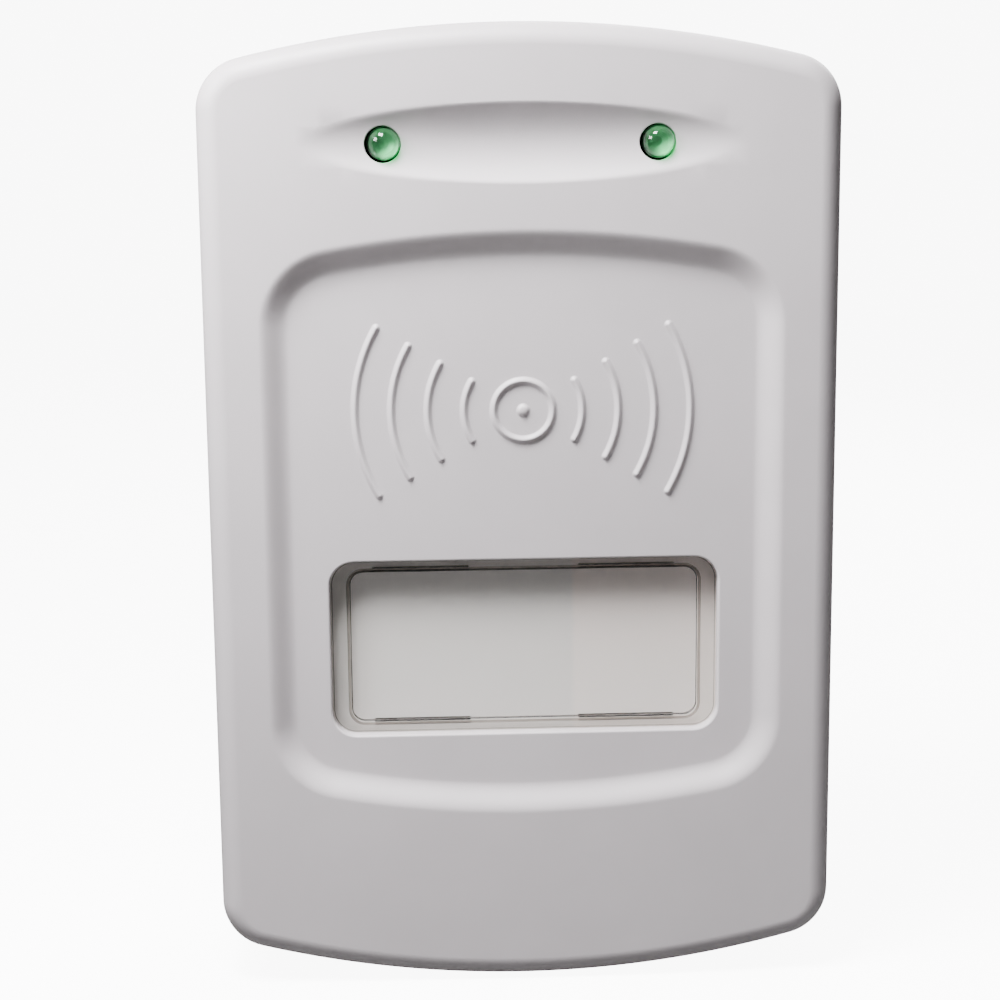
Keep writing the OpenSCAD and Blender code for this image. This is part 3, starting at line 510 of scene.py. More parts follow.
class Wire:
    """A shader socket that can be used in sums."""

    def __init__(self, finish, socket):
        self.finish, self.socket = finish, socket

    def math(self, kind, *values):
        settings = {"operation": kind}
        node = self.finish.add("ShaderNodeMath", settings, dict(enumerate(values)))
        return Wire(self.finish, node.outputs[0])

    def __add__(self, other):
        return self.math("ADD", self, other)

    def __sub__(self, other):
        return self.math("SUBTRACT", self, other)

    def __rsub__(self, other):
        return self.math("SUBTRACT", other, self)

    def __mul__(self, other):
        return self.math("MULTIPLY", self, other)

    def __lt__(self, other):
        return self.math("LESS_THAN", self, other)

    def __gt__(self, other):
        return self.math("GREATER_THAN", self, other)

    def __abs__(self):
        return self.math("ABSOLUTE", self)

    __radd__, __rmul__ = __add__, __mul__

    def sine(self):
        return self.math("SINE", self)

    def root(self):
        return self.math("SQRT", self)

    def either(self, other):
        return self.math("MAXIMUM", self, other)

    def repeat(self, pitch):
        """The distance from the nearest of evenly spaced places, one of them at 0."""
        return abs(self.math("WRAP", self, pitch / 2, -pitch / 2))

    def between(self, low, high):
        """0 below low, 1 above high and smooth in between."""
        node = self.finish.add("ShaderNodeMapRange", {"interpolation_type": "SMOOTHSTEP"},
                               {"Value": self, "From Min": low, "From Max": high})
        return Wire(self.finish, node.outputs[0])


class Finish:
    """A node-based material, written as words and sums."""

    def __init__(self, name):
        self.material = bpy.data.materials.new(name)
        self.material.use_nodes = True
        self.tree = self.material.node_tree
        self.tree.nodes.clear()
        self.output = self.add("ShaderNodeOutputMaterial")
        self.place = self.add("ShaderNodeTexCoord").outputs["Object"]

    def add(self, kind, settings=None, values=None):
        """A node of any kind: its settings first, then the values or links of its sockets."""
        node = self.tree.nodes.new(kind)
        for key, value in (settings or {}).items():
            setattr(node, key, value)
        for key, value in (values or {}).items():
            socket = node.inputs[key]
            if isinstance(value, Wire):
                self.tree.links.new(value.socket, socket)
            elif isinstance(value, bpy.types.NodeSocket):
                self.tree.links.new(value, socket)
            elif socket.type == "RGBA":
                socket.default_value = (*value, 1.0)
            else:
                socket.default_value = value
        return node

    def noise(self, grain, detail=3.0, rough=0.55, stretch=None):
        """Noise whose grain is a size in metres."""
        where = self.place
        if stretch:
            where = self.add("ShaderNodeMapping", None, {"Vector": where, "Scale": stretch}).outputs[0]
        node = self.add("ShaderNodeTexNoise", None, {"Vector": where, "Scale": 1 / grain, "Detail": detail,
                                                     "Roughness": rough})
        return Wire(self, node.outputs[0])

    def cells(self, grain, random=1.0):
        """Distance from the nearest of scattered points, in grains."""
        node = self.add("ShaderNodeTexVoronoi", None, {"Vector": self.place, "Scale": 1 / grain,
                                                       "Randomness": random})
        return Wire(self, node.outputs["Distance"])

    def axis(self, name):
        """The surface's own X, Y or Z, in metres."""
        return Wire(self, self.add("ShaderNodeSeparateXYZ", None, {0: self.place}).outputs[name])

    def facing(self, name):
        """How far the surface faces along X, Y or Z."""
        normal = self.add("ShaderNodeTexCoord").outputs["Normal"]
        return Wire(self, self.add("ShaderNodeSeparateXYZ", None, {0: normal}).outputs[name])

    def mix(self, amount, first, second):
        return self.add("ShaderNodeMix", {"data_type": "RGBA"}, {0: amount, 6: first, 7: second}).outputs[2]

    def bump(self, height, depth, strength=1.0):
        return self.add("ShaderNodeBump", None, {"Height": height, "Distance": depth,
                                                 "Strength": strength}).outputs[0]

    def shader(self, **sockets):
        """A Principled shader; socket names are written with underscores."""
        names = {key.replace("_", " "): value for key, value in sockets.items()}
        return self.add("ShaderNodeBsdfPrincipled", None, names).outputs[0]

    def done(self, **sockets):
        self.tree.links.new(self.shader(**sockets), self.output.inputs[0])
        return self.material

    def done_mix(self, amount, first, second):
        """Finishes with one of two shaders."""
        self.tree.links.new(self.either(amount, first, second), self.output.inputs[0])
        return self.material

    def done_clear(self, passed, **sockets):
        """Finishes as clear plastic of index IOR that lets light fall through it onto what is behind."""
        glass = self.shader(Transmission_Weight=1.0, **sockets)
        path = self.add("ShaderNodeLightPath").outputs
        lit = Wire(self, path["Is Shadow Ray"]).either(Wire(self, path["Is Diffuse Ray"]))
        return self.done_mix(lit, glass, self.see_through(passed))

    def either(self, amount, first, second):
        return self.add("ShaderNodeMixShader", None, {0: amount, 1: first, 2: second}).outputs[0]

    def see_through(self, tint=(1, 1, 1)):
        return self.add("ShaderNodeBsdfTransparent", None, {"Color": tint}).outputs[0]


def tone(shade, factor):
    """The same colour, darker or lighter."""
    return tuple(min(1.0, c * factor) for c in shade)


# ---------------------------------------------------------------- finishes

def moulded(name, shade, rough=0.42, grain=0.22, depth=0.006, wear=0.03):
    """Satin moulded plastic: spark-eroded grain, faint mottling and handling marks; grain and depth in mm."""
    f = Finish(name)
    cloud = f.noise(14 * MM, 4).between(0.3, 0.7)
    fine = f.noise(grain * MM, 2, 0.7)
    smudge = f.noise(6 * MM, 5, 0.65).between(0.45, 0.75)
    return f.done(
        Base_Color=f.mix(cloud * 0.6 + fine * 0.4, tone(shade, 1 - wear), tone(shade, 1 + wear)),
        Roughness=smudge * 0.07 + (fine - 0.5) * 0.12 + rough,
        Normal=f.bump(fine + f.noise(grain * 4 * MM, 2) * 0.7, depth * MM),
        IOR=1.5,
    )


def metal(name, shade, rough=0.26, grain=0.35, stretch=(1, 14, 1), tarnish=0.3):
    """Plated or bare metal with drawn lines, tarnish and small dents; grain in mm."""
    f = Finish(name)
    lines = f.noise(grain * MM, 3, 0.6, stretch)
    stain = f.noise(3.5 * MM, 5, 0.6).between(0.42, 0.78)
    dents = f.noise(1.2 * MM, 2)
    return f.done(Base_Color=f.mix(stain * tarnish + lines * 0.25, shade, tone(shade, 0.6)), Metallic=1.0,
                  Roughness=stain * 0.16 + lines * 0.14 + rough,
                  Normal=f.bump(lines + dents * 0.5, 0.006 * MM))


def clear_plastic(name, shade, rough=0.04):
    """Clear moulding with flow marks and fine scratches. Light falls through it onto what is behind."""
    f = Finish(name)
    flow = f.noise(9 * MM, 2)
    scratch = f.noise(0.3 * MM, 2, 0.6, (1, 1, 12)).between(0.6, 0.8)
    passed = tuple((2 + c) / 3 for c in shade)
    return f.done_clear(passed, Base_Color=shade, Roughness=scratch * 0.08 + flow * 0.03 + rough, IOR=1.49,
                        Normal=f.bump(flow, 0.03 * MM, 0.4))


def lamp_epoxy(name, tint, thick):
    """Clear green epoxy with painted shade on the rim of the dome's lower left. Light falls through it."""
    f = Finish(name)
    flow = f.noise(1.2 * MM, 2)
    # The rim on the dome's lower left is painted dark: painted shade
    rim = (f.facing("Y") + 1).between(0.3, 0.6)
    shaded_lower_left = (0 - f.facing("X") - f.facing("Z")).between(-0.35, 0.65)
    return f.done_clear(tint, Base_Color=f.mix(rim * shaded_lower_left, tint, thick), Roughness=flow * 0.04 + 0.01,
                        IOR=1.52, Normal=f.bump(flow, 0.03 * MM, 0.4))


def milky_sheet(name, grey, cream, window_z):
    """Frosted sheet, a little creamier on its right, with a fine mottle and soft moulding clouds; the creamy
    part is painted lighter towards the bottom, a painted gradient of light.
    """
    f = Finish(name)
    fine = f.noise(0.5 * MM, 3, 0.7)
    cloud = f.noise(18 * MM, 3).between(0.3, 0.7)
    side = (f.axis("X") + (fine - 0.5) * 1.2 * MM).between(7.1 * MM, 8.3 * MM)
    # Painted light: the creamy part gets lighter towards the bottom
    low = (window_z + 9 * MM - f.axis("Z")).between(0, 20 * MM)
    base = f.mix(cloud * 0.35 + fine * 0.25, grey, tone(grey, 0.93))
    warm = f.mix(low * 0.6 + fine * 0.25, cream, tone(cream, 1.06))
    return f.done(Base_Color=f.mix(side, base, warm), Roughness=fine * 0.2 + 0.45,
                  Normal=f.bump(fine, 0.02 * MM, 0.6), IOR=1.46)


def solder_mask(name, shade):
    """Circuit board: copper tracks and pads under solder mask, bare glass fibre at the edges."""
    f = Finish(name)
    pitch = 2.54 * MM
    turn = f.noise(9 * MM, 1).between(0.47, 0.53)
    track_x, track_z = (1 - f.axis(axis).repeat(pitch).between(0.35 * MM, 0.5 * MM) for axis in "XZ")
    pads = 1 - f.cells(2 * pitch, 0.35).between(0.13, 0.15)
    tracks = track_x * turn + track_z * (1 - turn)
    broad_side = abs(f.facing("Y")) > 0.5
    tinned = pads * broad_side
    mask = f.mix(tracks * 0.8, shade, tone(shade, 2.1))
    fibre = f.mix(f.noise(0.15 * MM, 2, 0.6, (1, 8, 1)), (0.42, 0.38, 0.20), (0.62, 0.56, 0.34))
    face = f.mix(broad_side, fibre, f.mix(tinned, mask, TIN))
    return f.done(Base_Color=face, Metallic=tinned, Roughness=0.55 - tracks * 0.12 - tinned * 0.2,
                  Normal=f.bump(tracks.either(tinned), 0.03 * MM, 0.7), Coat_Weight=0.3)


def banded(name, node, axis, body, half, bands, rough):
    """A two-lead part, half mm long each way: bands across its axis and leads of tinned wire."""
    f = Finish(name)
    along = f.axis(axis) - centre(node)["XYZ".index(axis)]
    fine = f.noise(0.3 * MM, 3)
    shade = f.mix(fine, tone(body, 0.92), tone(body, 1.06))
    for at, width, paint in bands:
        stripe = abs(along - at * half * MM) < width * half * MM
        shade = f.mix(stripe, shade, paint)
    lead = abs(along) > half * MM
    return f.done(Base_Color=f.mix(lead, shade, TIN), Metallic=lead,
                  Roughness=fine * 0.12 + rough, Normal=f.bump(fine, 0.015 * MM))


def can_sleeve(name, node, top):
    """Electrolytic can: printed-looking sleeve with a pale stripe and a bare vented top."""
    f = Finish(name)
    fine = f.noise(0.3 * MM, 3)
    stripe = (f.axis("X") - centre(node)[0]) > spans(node)[0] * 0.32
    bare = f.axis("Y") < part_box(node)[0][1] + 0.25 * MM
    sleeve = f.mix(stripe, f.mix(fine, top, tone(top, 1.5)), (0.62, 0.64, 0.66))
    return f.done(Base_Color=f.mix(bare, sleeve, (0.72, 0.73, 0.74)), Metallic=bare,
                  Roughness=fine * 0.1 + 0.25, Normal=f.bump(fine, 0.01 * MM))


def winding(name, shade, wire):
    """Enamelled wire laid turn by turn, with painted shade in the creases between turns; wire in mm."""
    f = Finish(name)
    lay_and_crease_shade = (f.axis("Z") * (2 * math.pi / (wire * MM)) + f.noise(3 * MM, 2) * 2).sine() * 0.5 + 0.5
    uneven = f.noise(1.5 * MM, 3)
    # The creases between turns are painted darker: painted shade
    return f.done(Base_Color=f.mix(lay_and_crease_shade * 0.6 + uneven * 0.4, tone(shade, 0.45), shade), Metallic=1.0,
                  Roughness=uneven * 0.15 + 0.25, Normal=f.bump(lay_and_crease_shade, wire * 0.4 * MM), Coat_Weight=0.5)


def fired(name, shade, speck, rough=0.6, grain=0.25, depth=0.02):
    """Ceramic, ferrite or dipped resin: granular, with specks and tiny pits; grain and depth in mm."""
    f = Finish(name)
    grit = f.noise(grain * MM, 4, 0.7)
    pits = f.cells(grain * 3 * MM).between(0.05, 0.3)
    return f.done(Base_Color=f.mix(grit.between(0.4, 0.7), shade, speck), Roughness=grit * 0.2 + rough - 0.1,
                  Normal=f.bump(grit * 0.5 + pits * 0.5, depth * MM))


def foam(name, shade):
    """Open-cell foam ring, with painted shade in its pores."""
    f = Finish(name)
    cell = f.cells(0.45 * MM)
    wall = cell.between(0.1, 0.6)
    # Pores are painted darker than the cell walls: painted shade
    return f.done(Base_Color=f.mix(wall, tone(shade, 0.35), shade), Roughness=0.95,
                  Normal=f.bump(wall + f.noise(0.15 * MM, 3) * 0.5, 0.15 * MM))


def sleeve(name, shade):
    """Soft wire insulation with a slight orange peel and scuffs."""
    f = Finish(name)
    peel = f.noise(0.5 * MM, 2)
    scuff = f.noise(2.5 * MM, 5, 0.7).between(0.55, 0.75)
    return f.done(Base_Color=f.mix(scuff * 0.5, shade, tone(shade, 0.75)), Roughness=scuff * 0.2 + 0.34,
                  Normal=f.bump(peel, 0.02 * MM), Coat_Weight=0.15)


def light_chip(name, pitch, z):
    """White chip carriers with a round yellow phosphor window each."""
    f = Finish(name)
    x, up = (f.axis("X") - pitch / 2).repeat(pitch), f.axis("Z") - z
    lens = 1 - (x * x + up * up).root().between(1.0 * MM, 1.1 * MM)
    grain = f.noise(0.12 * MM, 2)
    phosphor = f.mix(grain, (0.85, 0.66, 0.10), (0.75, 0.55, 0.06))
    return f.done(Base_Color=f.mix(lens, (0.82, 0.82, 0.80), phosphor),
                  Roughness=0.5 - lens * 0.3 + grain * 0.1, Normal=f.bump(grain - lens, 0.03 * MM))


def plain_label(name, z, width, height):
    """Pale film with a thin printed frame and two empty fields."""
    f = Finish(name)
    fibre = f.noise(0.2 * MM, 3)
    x, up = abs(f.axis("X")), f.axis("Z") - z
    side, end, half_line = width / 2 - 1.6 * MM, height / 2 - 1.6 * MM, 0.15 * MM
    sides = (abs(x - side) < half_line) * (abs(up) < end + half_line)
    ends = (abs(abs(up) - end) < half_line) * (x < side + half_line)
    rule = (abs(up - 2 * MM) < 0.12 * MM) * (x < side)
    film = f.mix(fibre, (0.74, 0.75, 0.76), (0.80, 0.81, 0.82))
    return f.done(Base_Color=f.mix(sides.either(ends).either(rule), film, (0.10, 0.11, 0.12)),
                  Roughness=fibre * 0.15 + 0.32, Normal=f.bump(fibre, 0.01 * MM), Coat_Weight=0.2)


def fibre_board(name, shade):
    """Pressed phenolic board with flecks of paper."""
    f = Finish(name)
    fleck = f.noise(0.35 * MM, 4, 0.7, (1, 1, 5))
    return f.done(Base_Color=f.mix(fleck.between(0.35, 0.7), tone(shade, 0.7), tone(shade, 1.25)),
                  Roughness=fleck * 0.2 + 0.4, Normal=f.bump(fleck, 0.02 * MM))


# ---------------------------------------------------------------- where things lie

class Form:
    """Where the casing's surfaces lie, worked out once from the frame and the settings."""

    def __init__(self, scene):
        self.casing, self.panel = scene.repeller_casing, scene.repeller_panel
        self.window, self.lamps = scene.repeller_window, scene.repeller_lamps
        self.fasteners, self.colours = scene.repeller_fasteners, scene.repeller_colours
        c, p, s = self.casing, self.panel, self.lamps
        housing_low, housing_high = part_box("rear_housing")
        self.width = spans("front_cover")[0]
        self.low, self.high = housing_low[2], housing_high[2]
        self.face_y, self.back_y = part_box("front_cover")[0][1], housing_high[1]
        self.split_y = self.face_y + c.cover_depth
        self.outline = Arched(self.width, self.high, self.low, c.top_arch, c.low_arch, c.corner)
        self.rim = Arched(self.width - 2 * p.side_gap, self.high - p.top_gap, self.low + p.low_gap,
                          c.top_arch - p.side_gap, c.low_arch - p.side_gap, p.corner)
        self.panel_y = self.face_y + p.depth
        self.window_z = centre("window_lens")[2]
        open_w, _, open_h = np.subtract(spans("window_lens"), 2 * self.window.lip)
        opening = rounded_rect(open_w, open_h, self.window.corner, self.window_z)
        self.opening = Opening(opening, self.window.edge)
        self.lamp_at = [centre(side + "_led_lens")[::2] for side in ("left", "right")]
        self.lamp_r = spans("left_led_lens")[0] / 2 - s.flange
        hole_r = self.lamp_r + s.hole_gap
        self.holes = [self.opening, *(Opening(Round(np.subtract(at, s.hole_off), hole_r), s.hole_edge)
                                      for at in self.lamp_at)]
        self.spindle_d = (s.scoop_height ** 2 / 4 - s.scoop_depth ** 2) / (2 * s.scoop_depth)
        self.spindle_arc = s.scoop_length ** 2 / 8 / s.scoop_depth
        self.motif_z = (self.rim.top - p.slope + self.window_z + open_h / 2) / 2
        self.wave_radii = [p.wave_first + i * p.wave_pitch for i in range(4)]
        self.wave_reach = math.radians(30)

    def broad(self, p):
        """Depth below the face of the panel and the scoop."""
        t = np.clip(self.rim.depth(p) / self.panel.slope, 0, 1)
        panel = self.panel.depth * (1 - np.cos(math.pi * t)) / 2
        radius = self.spindle_d + self.lamps.scoop_depth - p[:, 0] ** 2 / (2 * self.spindle_arc)
        up = p[:, 1] - self.lamp_at[0][1]
        dip = np.sqrt(np.maximum(radius ** 2 - up ** 2, 0)) * (radius > 0) - self.spindle_d
        return panel + soft_floor(dip, self.lamps.scoop_soft)

    def scoop_half(self, x):
        radius = self.spindle_d + self.lamps.scoop_depth - x ** 2 / (2 * self.spindle_arc)
        return np.sqrt(np.maximum(radius ** 2 - self.spindle_d ** 2, 0))

    def wave_gap(self, p):
        """Distance from the nearest line of the motif."""
        q = np.abs(p - [0, self.motif_z])
        r, a = np.hypot(q[:, 0], q[:, 1]), np.arctan2(q[:, 1], q[:, 0])
        gap = np.minimum(np.abs(r - self.panel.wave_first / 2), np.maximum(r - self.panel.dot, 0))
        for radius in self.wave_radii:
            end = radius * np.array([math.cos(self.wave_reach), math.sin(self.wave_reach)])
            gap = np.minimum(gap, np.where(a < self.wave_reach, np.abs(r - radius), np.hypot(*(q - end).T)))
        return gap

    def face(self, p):
        """Depth of the finished front surface below the face."""
        bead = np.clip(1 - self.wave_gap(p) / self.panel.bead_width, 0, 1)
        raised = self.panel.bead_height * (1 - np.cos(math.pi * bead)) / 2
        return self.broad(p) - raised + sum(hole.fall(p) for hole in self.holes)

    def front(self, p):
        return lift(p, self.face_y + self.face(p))

    def behind(self, p):
        """The inside of the cover, which follows the face a little less deeply."""
        follow = 0.92
        return lift(p, self.face_y + self.casing.wall + self.broad(p) * follow)

    def face_loops(self):
        """Closed loops that follow the panel's slope, the holes' edges and the motif."""
        p, middle = self.panel, np.array([0, self.motif_z])
        loops = [self.rim.inset(p.slope * t).points(10, 36, 14)[0] for t in np.linspace(-0.06, 1.06, 15)]
        loops += [ring for hole in self.holes for ring in hole.rings()]
        for share in (0.12, 0.3, 0.5, 0.7, 0.85, 1.0, 1.12):
            gap = share * p.bead_width
            loops += [self.wave_loop(middle, r, side, gap) for r in self.wave_radii for side in (0, math.pi)]
            loops += [circle(middle, p.wave_first / 2 + sign * gap, 64) for sign in (1, -1)]
            loops.append(circle(middle, p.dot + gap, 32))
        return loops

    def scoop_lines(self):
        x = self.lamps.scoop_length / 2 * np.cos(np.linspace(0, math.pi, 61))
        return [np.stack([x, self.lamp_at[0][1] + side * self.scoop_half(x) * share], 1)
                for share in (0.2, 0.4, 0.6, 0.75, 0.87, 0.94, 1.0, 1.06, 1.13) for side in (1, -1)]

    def wave_loop(self, middle, radius, side, gap):
        """A loop at a distance round one arc of the motif."""
        a, half_turn = self.wave_reach, math.pi
        ends = [middle + radius * np.array([math.cos(side + s * a), math.sin(side + s * a)]) for s in (-1, 1)]
        steps = int(radius / MM * 1.6) + 6
        return np.concatenate([
            arc(middle, radius + gap, side - a, side + a, steps)[0],
            arc(ends[1], gap, side + a, side + a + half_turn, 8)[0][1:-1],
            arc(middle, radius - gap, side + a, side - a, steps)[0],
            arc(ends[0], gap, side - a + half_turn, side - a + 2 * half_turn, 8)[0][1:-1],
        ])


def slide_travel():
    """How far the switch slides, from the frame's joint."""
    return next(joint["range_m"][1] for joint in frame["joints"] if joint["name"] == "switch_slide")


def centre(node):
    return [(a + b) / 2 for a, b in zip(*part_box(node))]


def spans(node):
    """A node's size along X, Y and Z."""
    return [b - a for a, b in zip(*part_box(node))]


def screw_places(node, head):
    """Where the screws of a group stand, from the group's box and the head's radius."""
    low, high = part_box(node)
    z_values = sorted({round(low[2] + head, 6), round(high[2] - head, 6)})
    return [(x, z) for x in (low[0] + head, high[0] - head) for z in z_values]


# ---------------------------------------------------------------- shells

def front_cover(form, finish):
    """Moulded cover: rounded edge, recessed panel, scoop, raised motif and its openings."""
    shell, c = Shell(), form.casing
    flat = form.outline.inset(c.front_edge)
    area = fill(flat.points()[0], [h.loop for h in form.holes], form.face_loops(), form.scoop_lines(),
                grid(flat, 3.2 * MM, 0.8 * MM))
    shell.sheet(form.front, area)
    shell.sheet(form.behind, area, -1)
    for hole in form.holes:
        shell.strip([form.behind(hole.loop), form.front(hole.loop)])
    edge_strip(shell, form.outline, c.front_edge, form.face_y, -1)
    side_strip(shell, form.outline, form.face_y + c.front_edge, form.split_y - c.seam_edge)
    edge_strip(shell, form.outline, c.seam_edge, form.split_y, 1, (90, 0), 4)
    inner = form.outline.inset(c.wall)
    shell.bands([flat_ring(form.outline.inset(c.seam_edge), form.split_y), flat_ring(inner, form.split_y)])
    side_strip(shell, inner, form.split_y, form.face_y + c.front_edge, -1)
    bend = c.front_edge - c.wall
    shell.strip([flat_ring(form.outline.inset(c.front_edge - bend * math.sin(a)),
                           form.face_y + c.front_edge - bend * math.cos(a))
                 for a in np.radians(np.linspace(90, 0, 6))])
    root, play = form.face_y + c.wall, 0.2 * MM
    board_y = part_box("night_light_board")[0][1]
    f = form.fasteners
    bosses = [(at, c.boss - 0.8 * MM, f.big_shank, root, form.split_y - play)
              for at in screw_places("housing_screws", f.big_head)]
    bosses += [(at, 2.5 * MM, f.small_shank, root + form.panel.depth, board_y - play)
               for at in screw_places("night_light_screws", f.small_head)]
    for (x, z), radius, hole, start, end in bosses:
        floor = start + 1 * MM
        shell.bands([bar_ring(x, z, r, y) for r, y in
                     ((radius, start), (radius, end), (hole, end), (hole, floor), (0, floor))])
    return shell.build("cover_shell", finish)


class Skirt:
    """The casing's side, unrolled: u runs round the outline and v is the depth."""

    def __init__(self, form, y_end):
        self.form, self.y_end = form, y_end
        p, out = form.outline.points(14, 60, 18)
        self.p, self.out = np.vstack([p, p[:1]]), np.vstack([out, out[:1]])
        self.u = np.concatenate([[0], np.cumsum(np.linalg.norm(np.diff(self.p, axis=0), axis=1))])

    def at(self, u, values):
        return np.stack([np.interp(u, self.u, values[:, i]) for i in (0, 1)], 1)

    def along(self, x, z):
        """Where a point of the outline lies on the unrolled side."""
        return self.u[np.hypot(self.p[:, 0] - x, self.p[:, 1] - z).argmin()]

    def height_on_right(self, z):
        """Where a height on the straight right side lies on the unrolled side."""
        right = self.p[:, 0] > self.form.width / 2 - 1e-6
        order = np.argsort(self.p[right, 1])
        return np.interp(z, self.p[right, 1][order], self.u[right][order])

    def outer(self, uv, fall=0.0):
        p = self.at(uv[:, 0], self.p) - unit(self.at(uv[:, 0], self.out)) * np.reshape(fall, (-1, 1))
        return np.stack([p[:, 0], uv[:, 1], p[:, 1]], 1)

    def inner(self, uv):
        low = np.where(uv[:, 1] > self.y_end - 1e-7, self.form.back_y - self.form.casing.back_wall, uv[:, 1])
        return self.outer(np.stack([uv[:, 0], low], 1), self.form.casing.wall)


def sound_slots(form, skirt):
    """Slots of the round field under the transducer, on the unrolled side."""
    c = form.casing
    y, u = centre("transducer_cup")[1], skirt.along(0, form.low)
    count = int(c.slot_field / c.slot_pitch)
    slots = []
    for i in range(-count, count + 1):
        x = i * c.slot_pitch
        tall = 2 * math.sqrt(c.slot_field ** 2 - x ** 2)
        slots.append(Opening(rounded_rect(c.slot_width, tall, 0.6 * MM, y, u + x), c.slot_edge, (5, 4, 10)))
    return slots


def knob_slot(form, skirt):
    """Opening for the knob and its travel, on the unrolled side."""
    f = form.fasteners
    _, y, z = centre("switch_knob")
    travel = slide_travel()
    outline = rounded_rect(f.knob_tall + travel + 2 * f.knob_play, f.knob_wide + 2 * f.knob_play, 0.5 * MM,
                           y, skirt.height_on_right(z + travel / 2))
    return Opening(outline, form.casing.slot_edge, (5, 10, 6))


def rear_housing(form, finish):
    """Moulded housing: side with sound slots and switch opening, flat back, wells, bosses and tongue."""
    shell, c = Shell(), form.casing
    y0, y1 = form.split_y + c.seam_edge, form.back_y - c.back_edge
    skirt = Skirt(form, y1)
    holes = [*sound_slots(form, skirt), knob_slot(form, skirt)]
    length_round = skirt.u[-1]
    corners = np.array([[0, y0], [length_round, y0], [length_round, y1], [0, y1]])
    spans = [(h.loop[:, 0].min() - 0.4 * MM, h.loop[:, 0].max() + 0.4 * MM) for h in holes]
    free = [u for u in skirt.u[1:-1] if not any(a < u < b for a, b in spans)]
    lines = [np.stack([np.full(7, u), np.linspace(y0, y1, 7)], 1) for u in free]
    area = fill(corners, [h.loop for h in holes], [r for h in holes for r in h.rings()], lines)
    shell.sheet(lambda uv: skirt.outer(uv, sum(h.fall(uv) for h in holes)), area, -1)
    shell.sheet(skirt.inner, area)
    for hole in holes:
        shell.strip([skirt.inner(hole.loop), skirt.outer(hole.loop, hole.edge)])
    edge_strip(shell, form.outline, c.seam_edge, form.split_y, -1, (0, 90), 4)
    edge_strip(shell, form.outline, c.back_edge, form.back_y, 1, (90, 0), 7)
    inner, step = form.outline.inset(c.wall), form.outline.inset(c.wall - c.tongue)
    tip = form.split_y - c.tongue_height
    seam = form.outline.inset(c.seam_edge)
    shell.bands([flat_ring(ring, y) for ring, y in
                 ((inner, y0), (inner, tip), (step, tip), (step, form.split_y), (seam, form.split_y))])
    back_face(shell, form)
    return shell.build("housing_shell", finish)


def back_face(shell, form):
    """The flat back with its wells, blade slots and label recess, and the posts inside."""
    c, f = form.casing, form.fasteners
    wells = screw_places("housing_screws", f.big_head)
    holes = [Opening(Round(at, c.well), c.slot_edge) for at in wells]
    blades, play = [], 0.2 * MM
    for node, width in (("neutral_blade", f.neutral_width), ("live_blade", f.live_width)):
        x, _, z = centre(node)
        slot = rounded_rect(spans(node)[0] + play, width + play, 0.2 * MM, z, x)
        blades.append(Opening(slot, 0.15 * MM, (4, 3, 6)))
    wide, _, tall = spans("rating_label")
    recess = rounded_rect(wide + 2 * play, tall + 2 * play, 0.8 * MM, centre("rating_label")[2])
    label = Opening(recess, 0.12 * MM)
    openings = [*holes, *blades, label]
    flat, in_y = form.outline.inset(c.back_edge), form.back_y - c.back_wall

    def back(p):
        return lift(p, form.back_y - sum(o.fall(p) for o in openings))

    shell.sheet(back, fill(flat.points()[0], [o.loop for o in openings],
                           [r for o in openings for r in o.rings()], (), grid(flat, 7 * MM, 2 * MM)), -1)
    floor_y = form.back_y - c.label_recess
    shell.strip([flat_ring(label.loop, form.back_y - label.edge), flat_ring(label.loop, floor_y)])
    shell.sheet(flat_at(floor_y), fill(label.loop), -1)
    inner = form.outline.inset(c.wall).points(14, 60, 18)[0]
    shell.sheet(flat_at(in_y), fill(inner, [o.loop for o in blades]))
    for slot in blades:
        shell.strip([flat_ring(slot.loop, form.back_y - slot.edge), flat_ring(slot.loop, in_y)])
    seat = form.back_y - c.well_depth
    for at in wells:
        shell.bands([bar_ring(*at, r, y) for r, y in
                     ((c.well, form.back_y - c.slot_edge), (c.well, seat), (c.screw_hole, seat),
                      (c.screw_hole, form.split_y), (c.boss, form.split_y), (c.boss, in_y))])
    for node, radius, deep, top in (
        ("board_screws", 3.2 * MM, 5.6 * MM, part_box("main_board")[1][1]),
        ("retainer_screws", 2.4 * MM, 4 * MM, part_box("blade_retainer")[1][1] - 3.5 * MM),
        ("transducer_screws", 2.6 * MM, 6.4 * MM, centre("transducer_cup")[1] + 1.3 * MM),
    ):
        for at in screw_places(node, f.small_head):
            shell.bands([bar_ring(*at, r, y) for r, y in
                         ((0, top + deep), (f.small_shank, top + deep), (f.small_shank, top),
                          (radius, top), (radius, in_y))])


# ---------------------------------------------------------------- night light

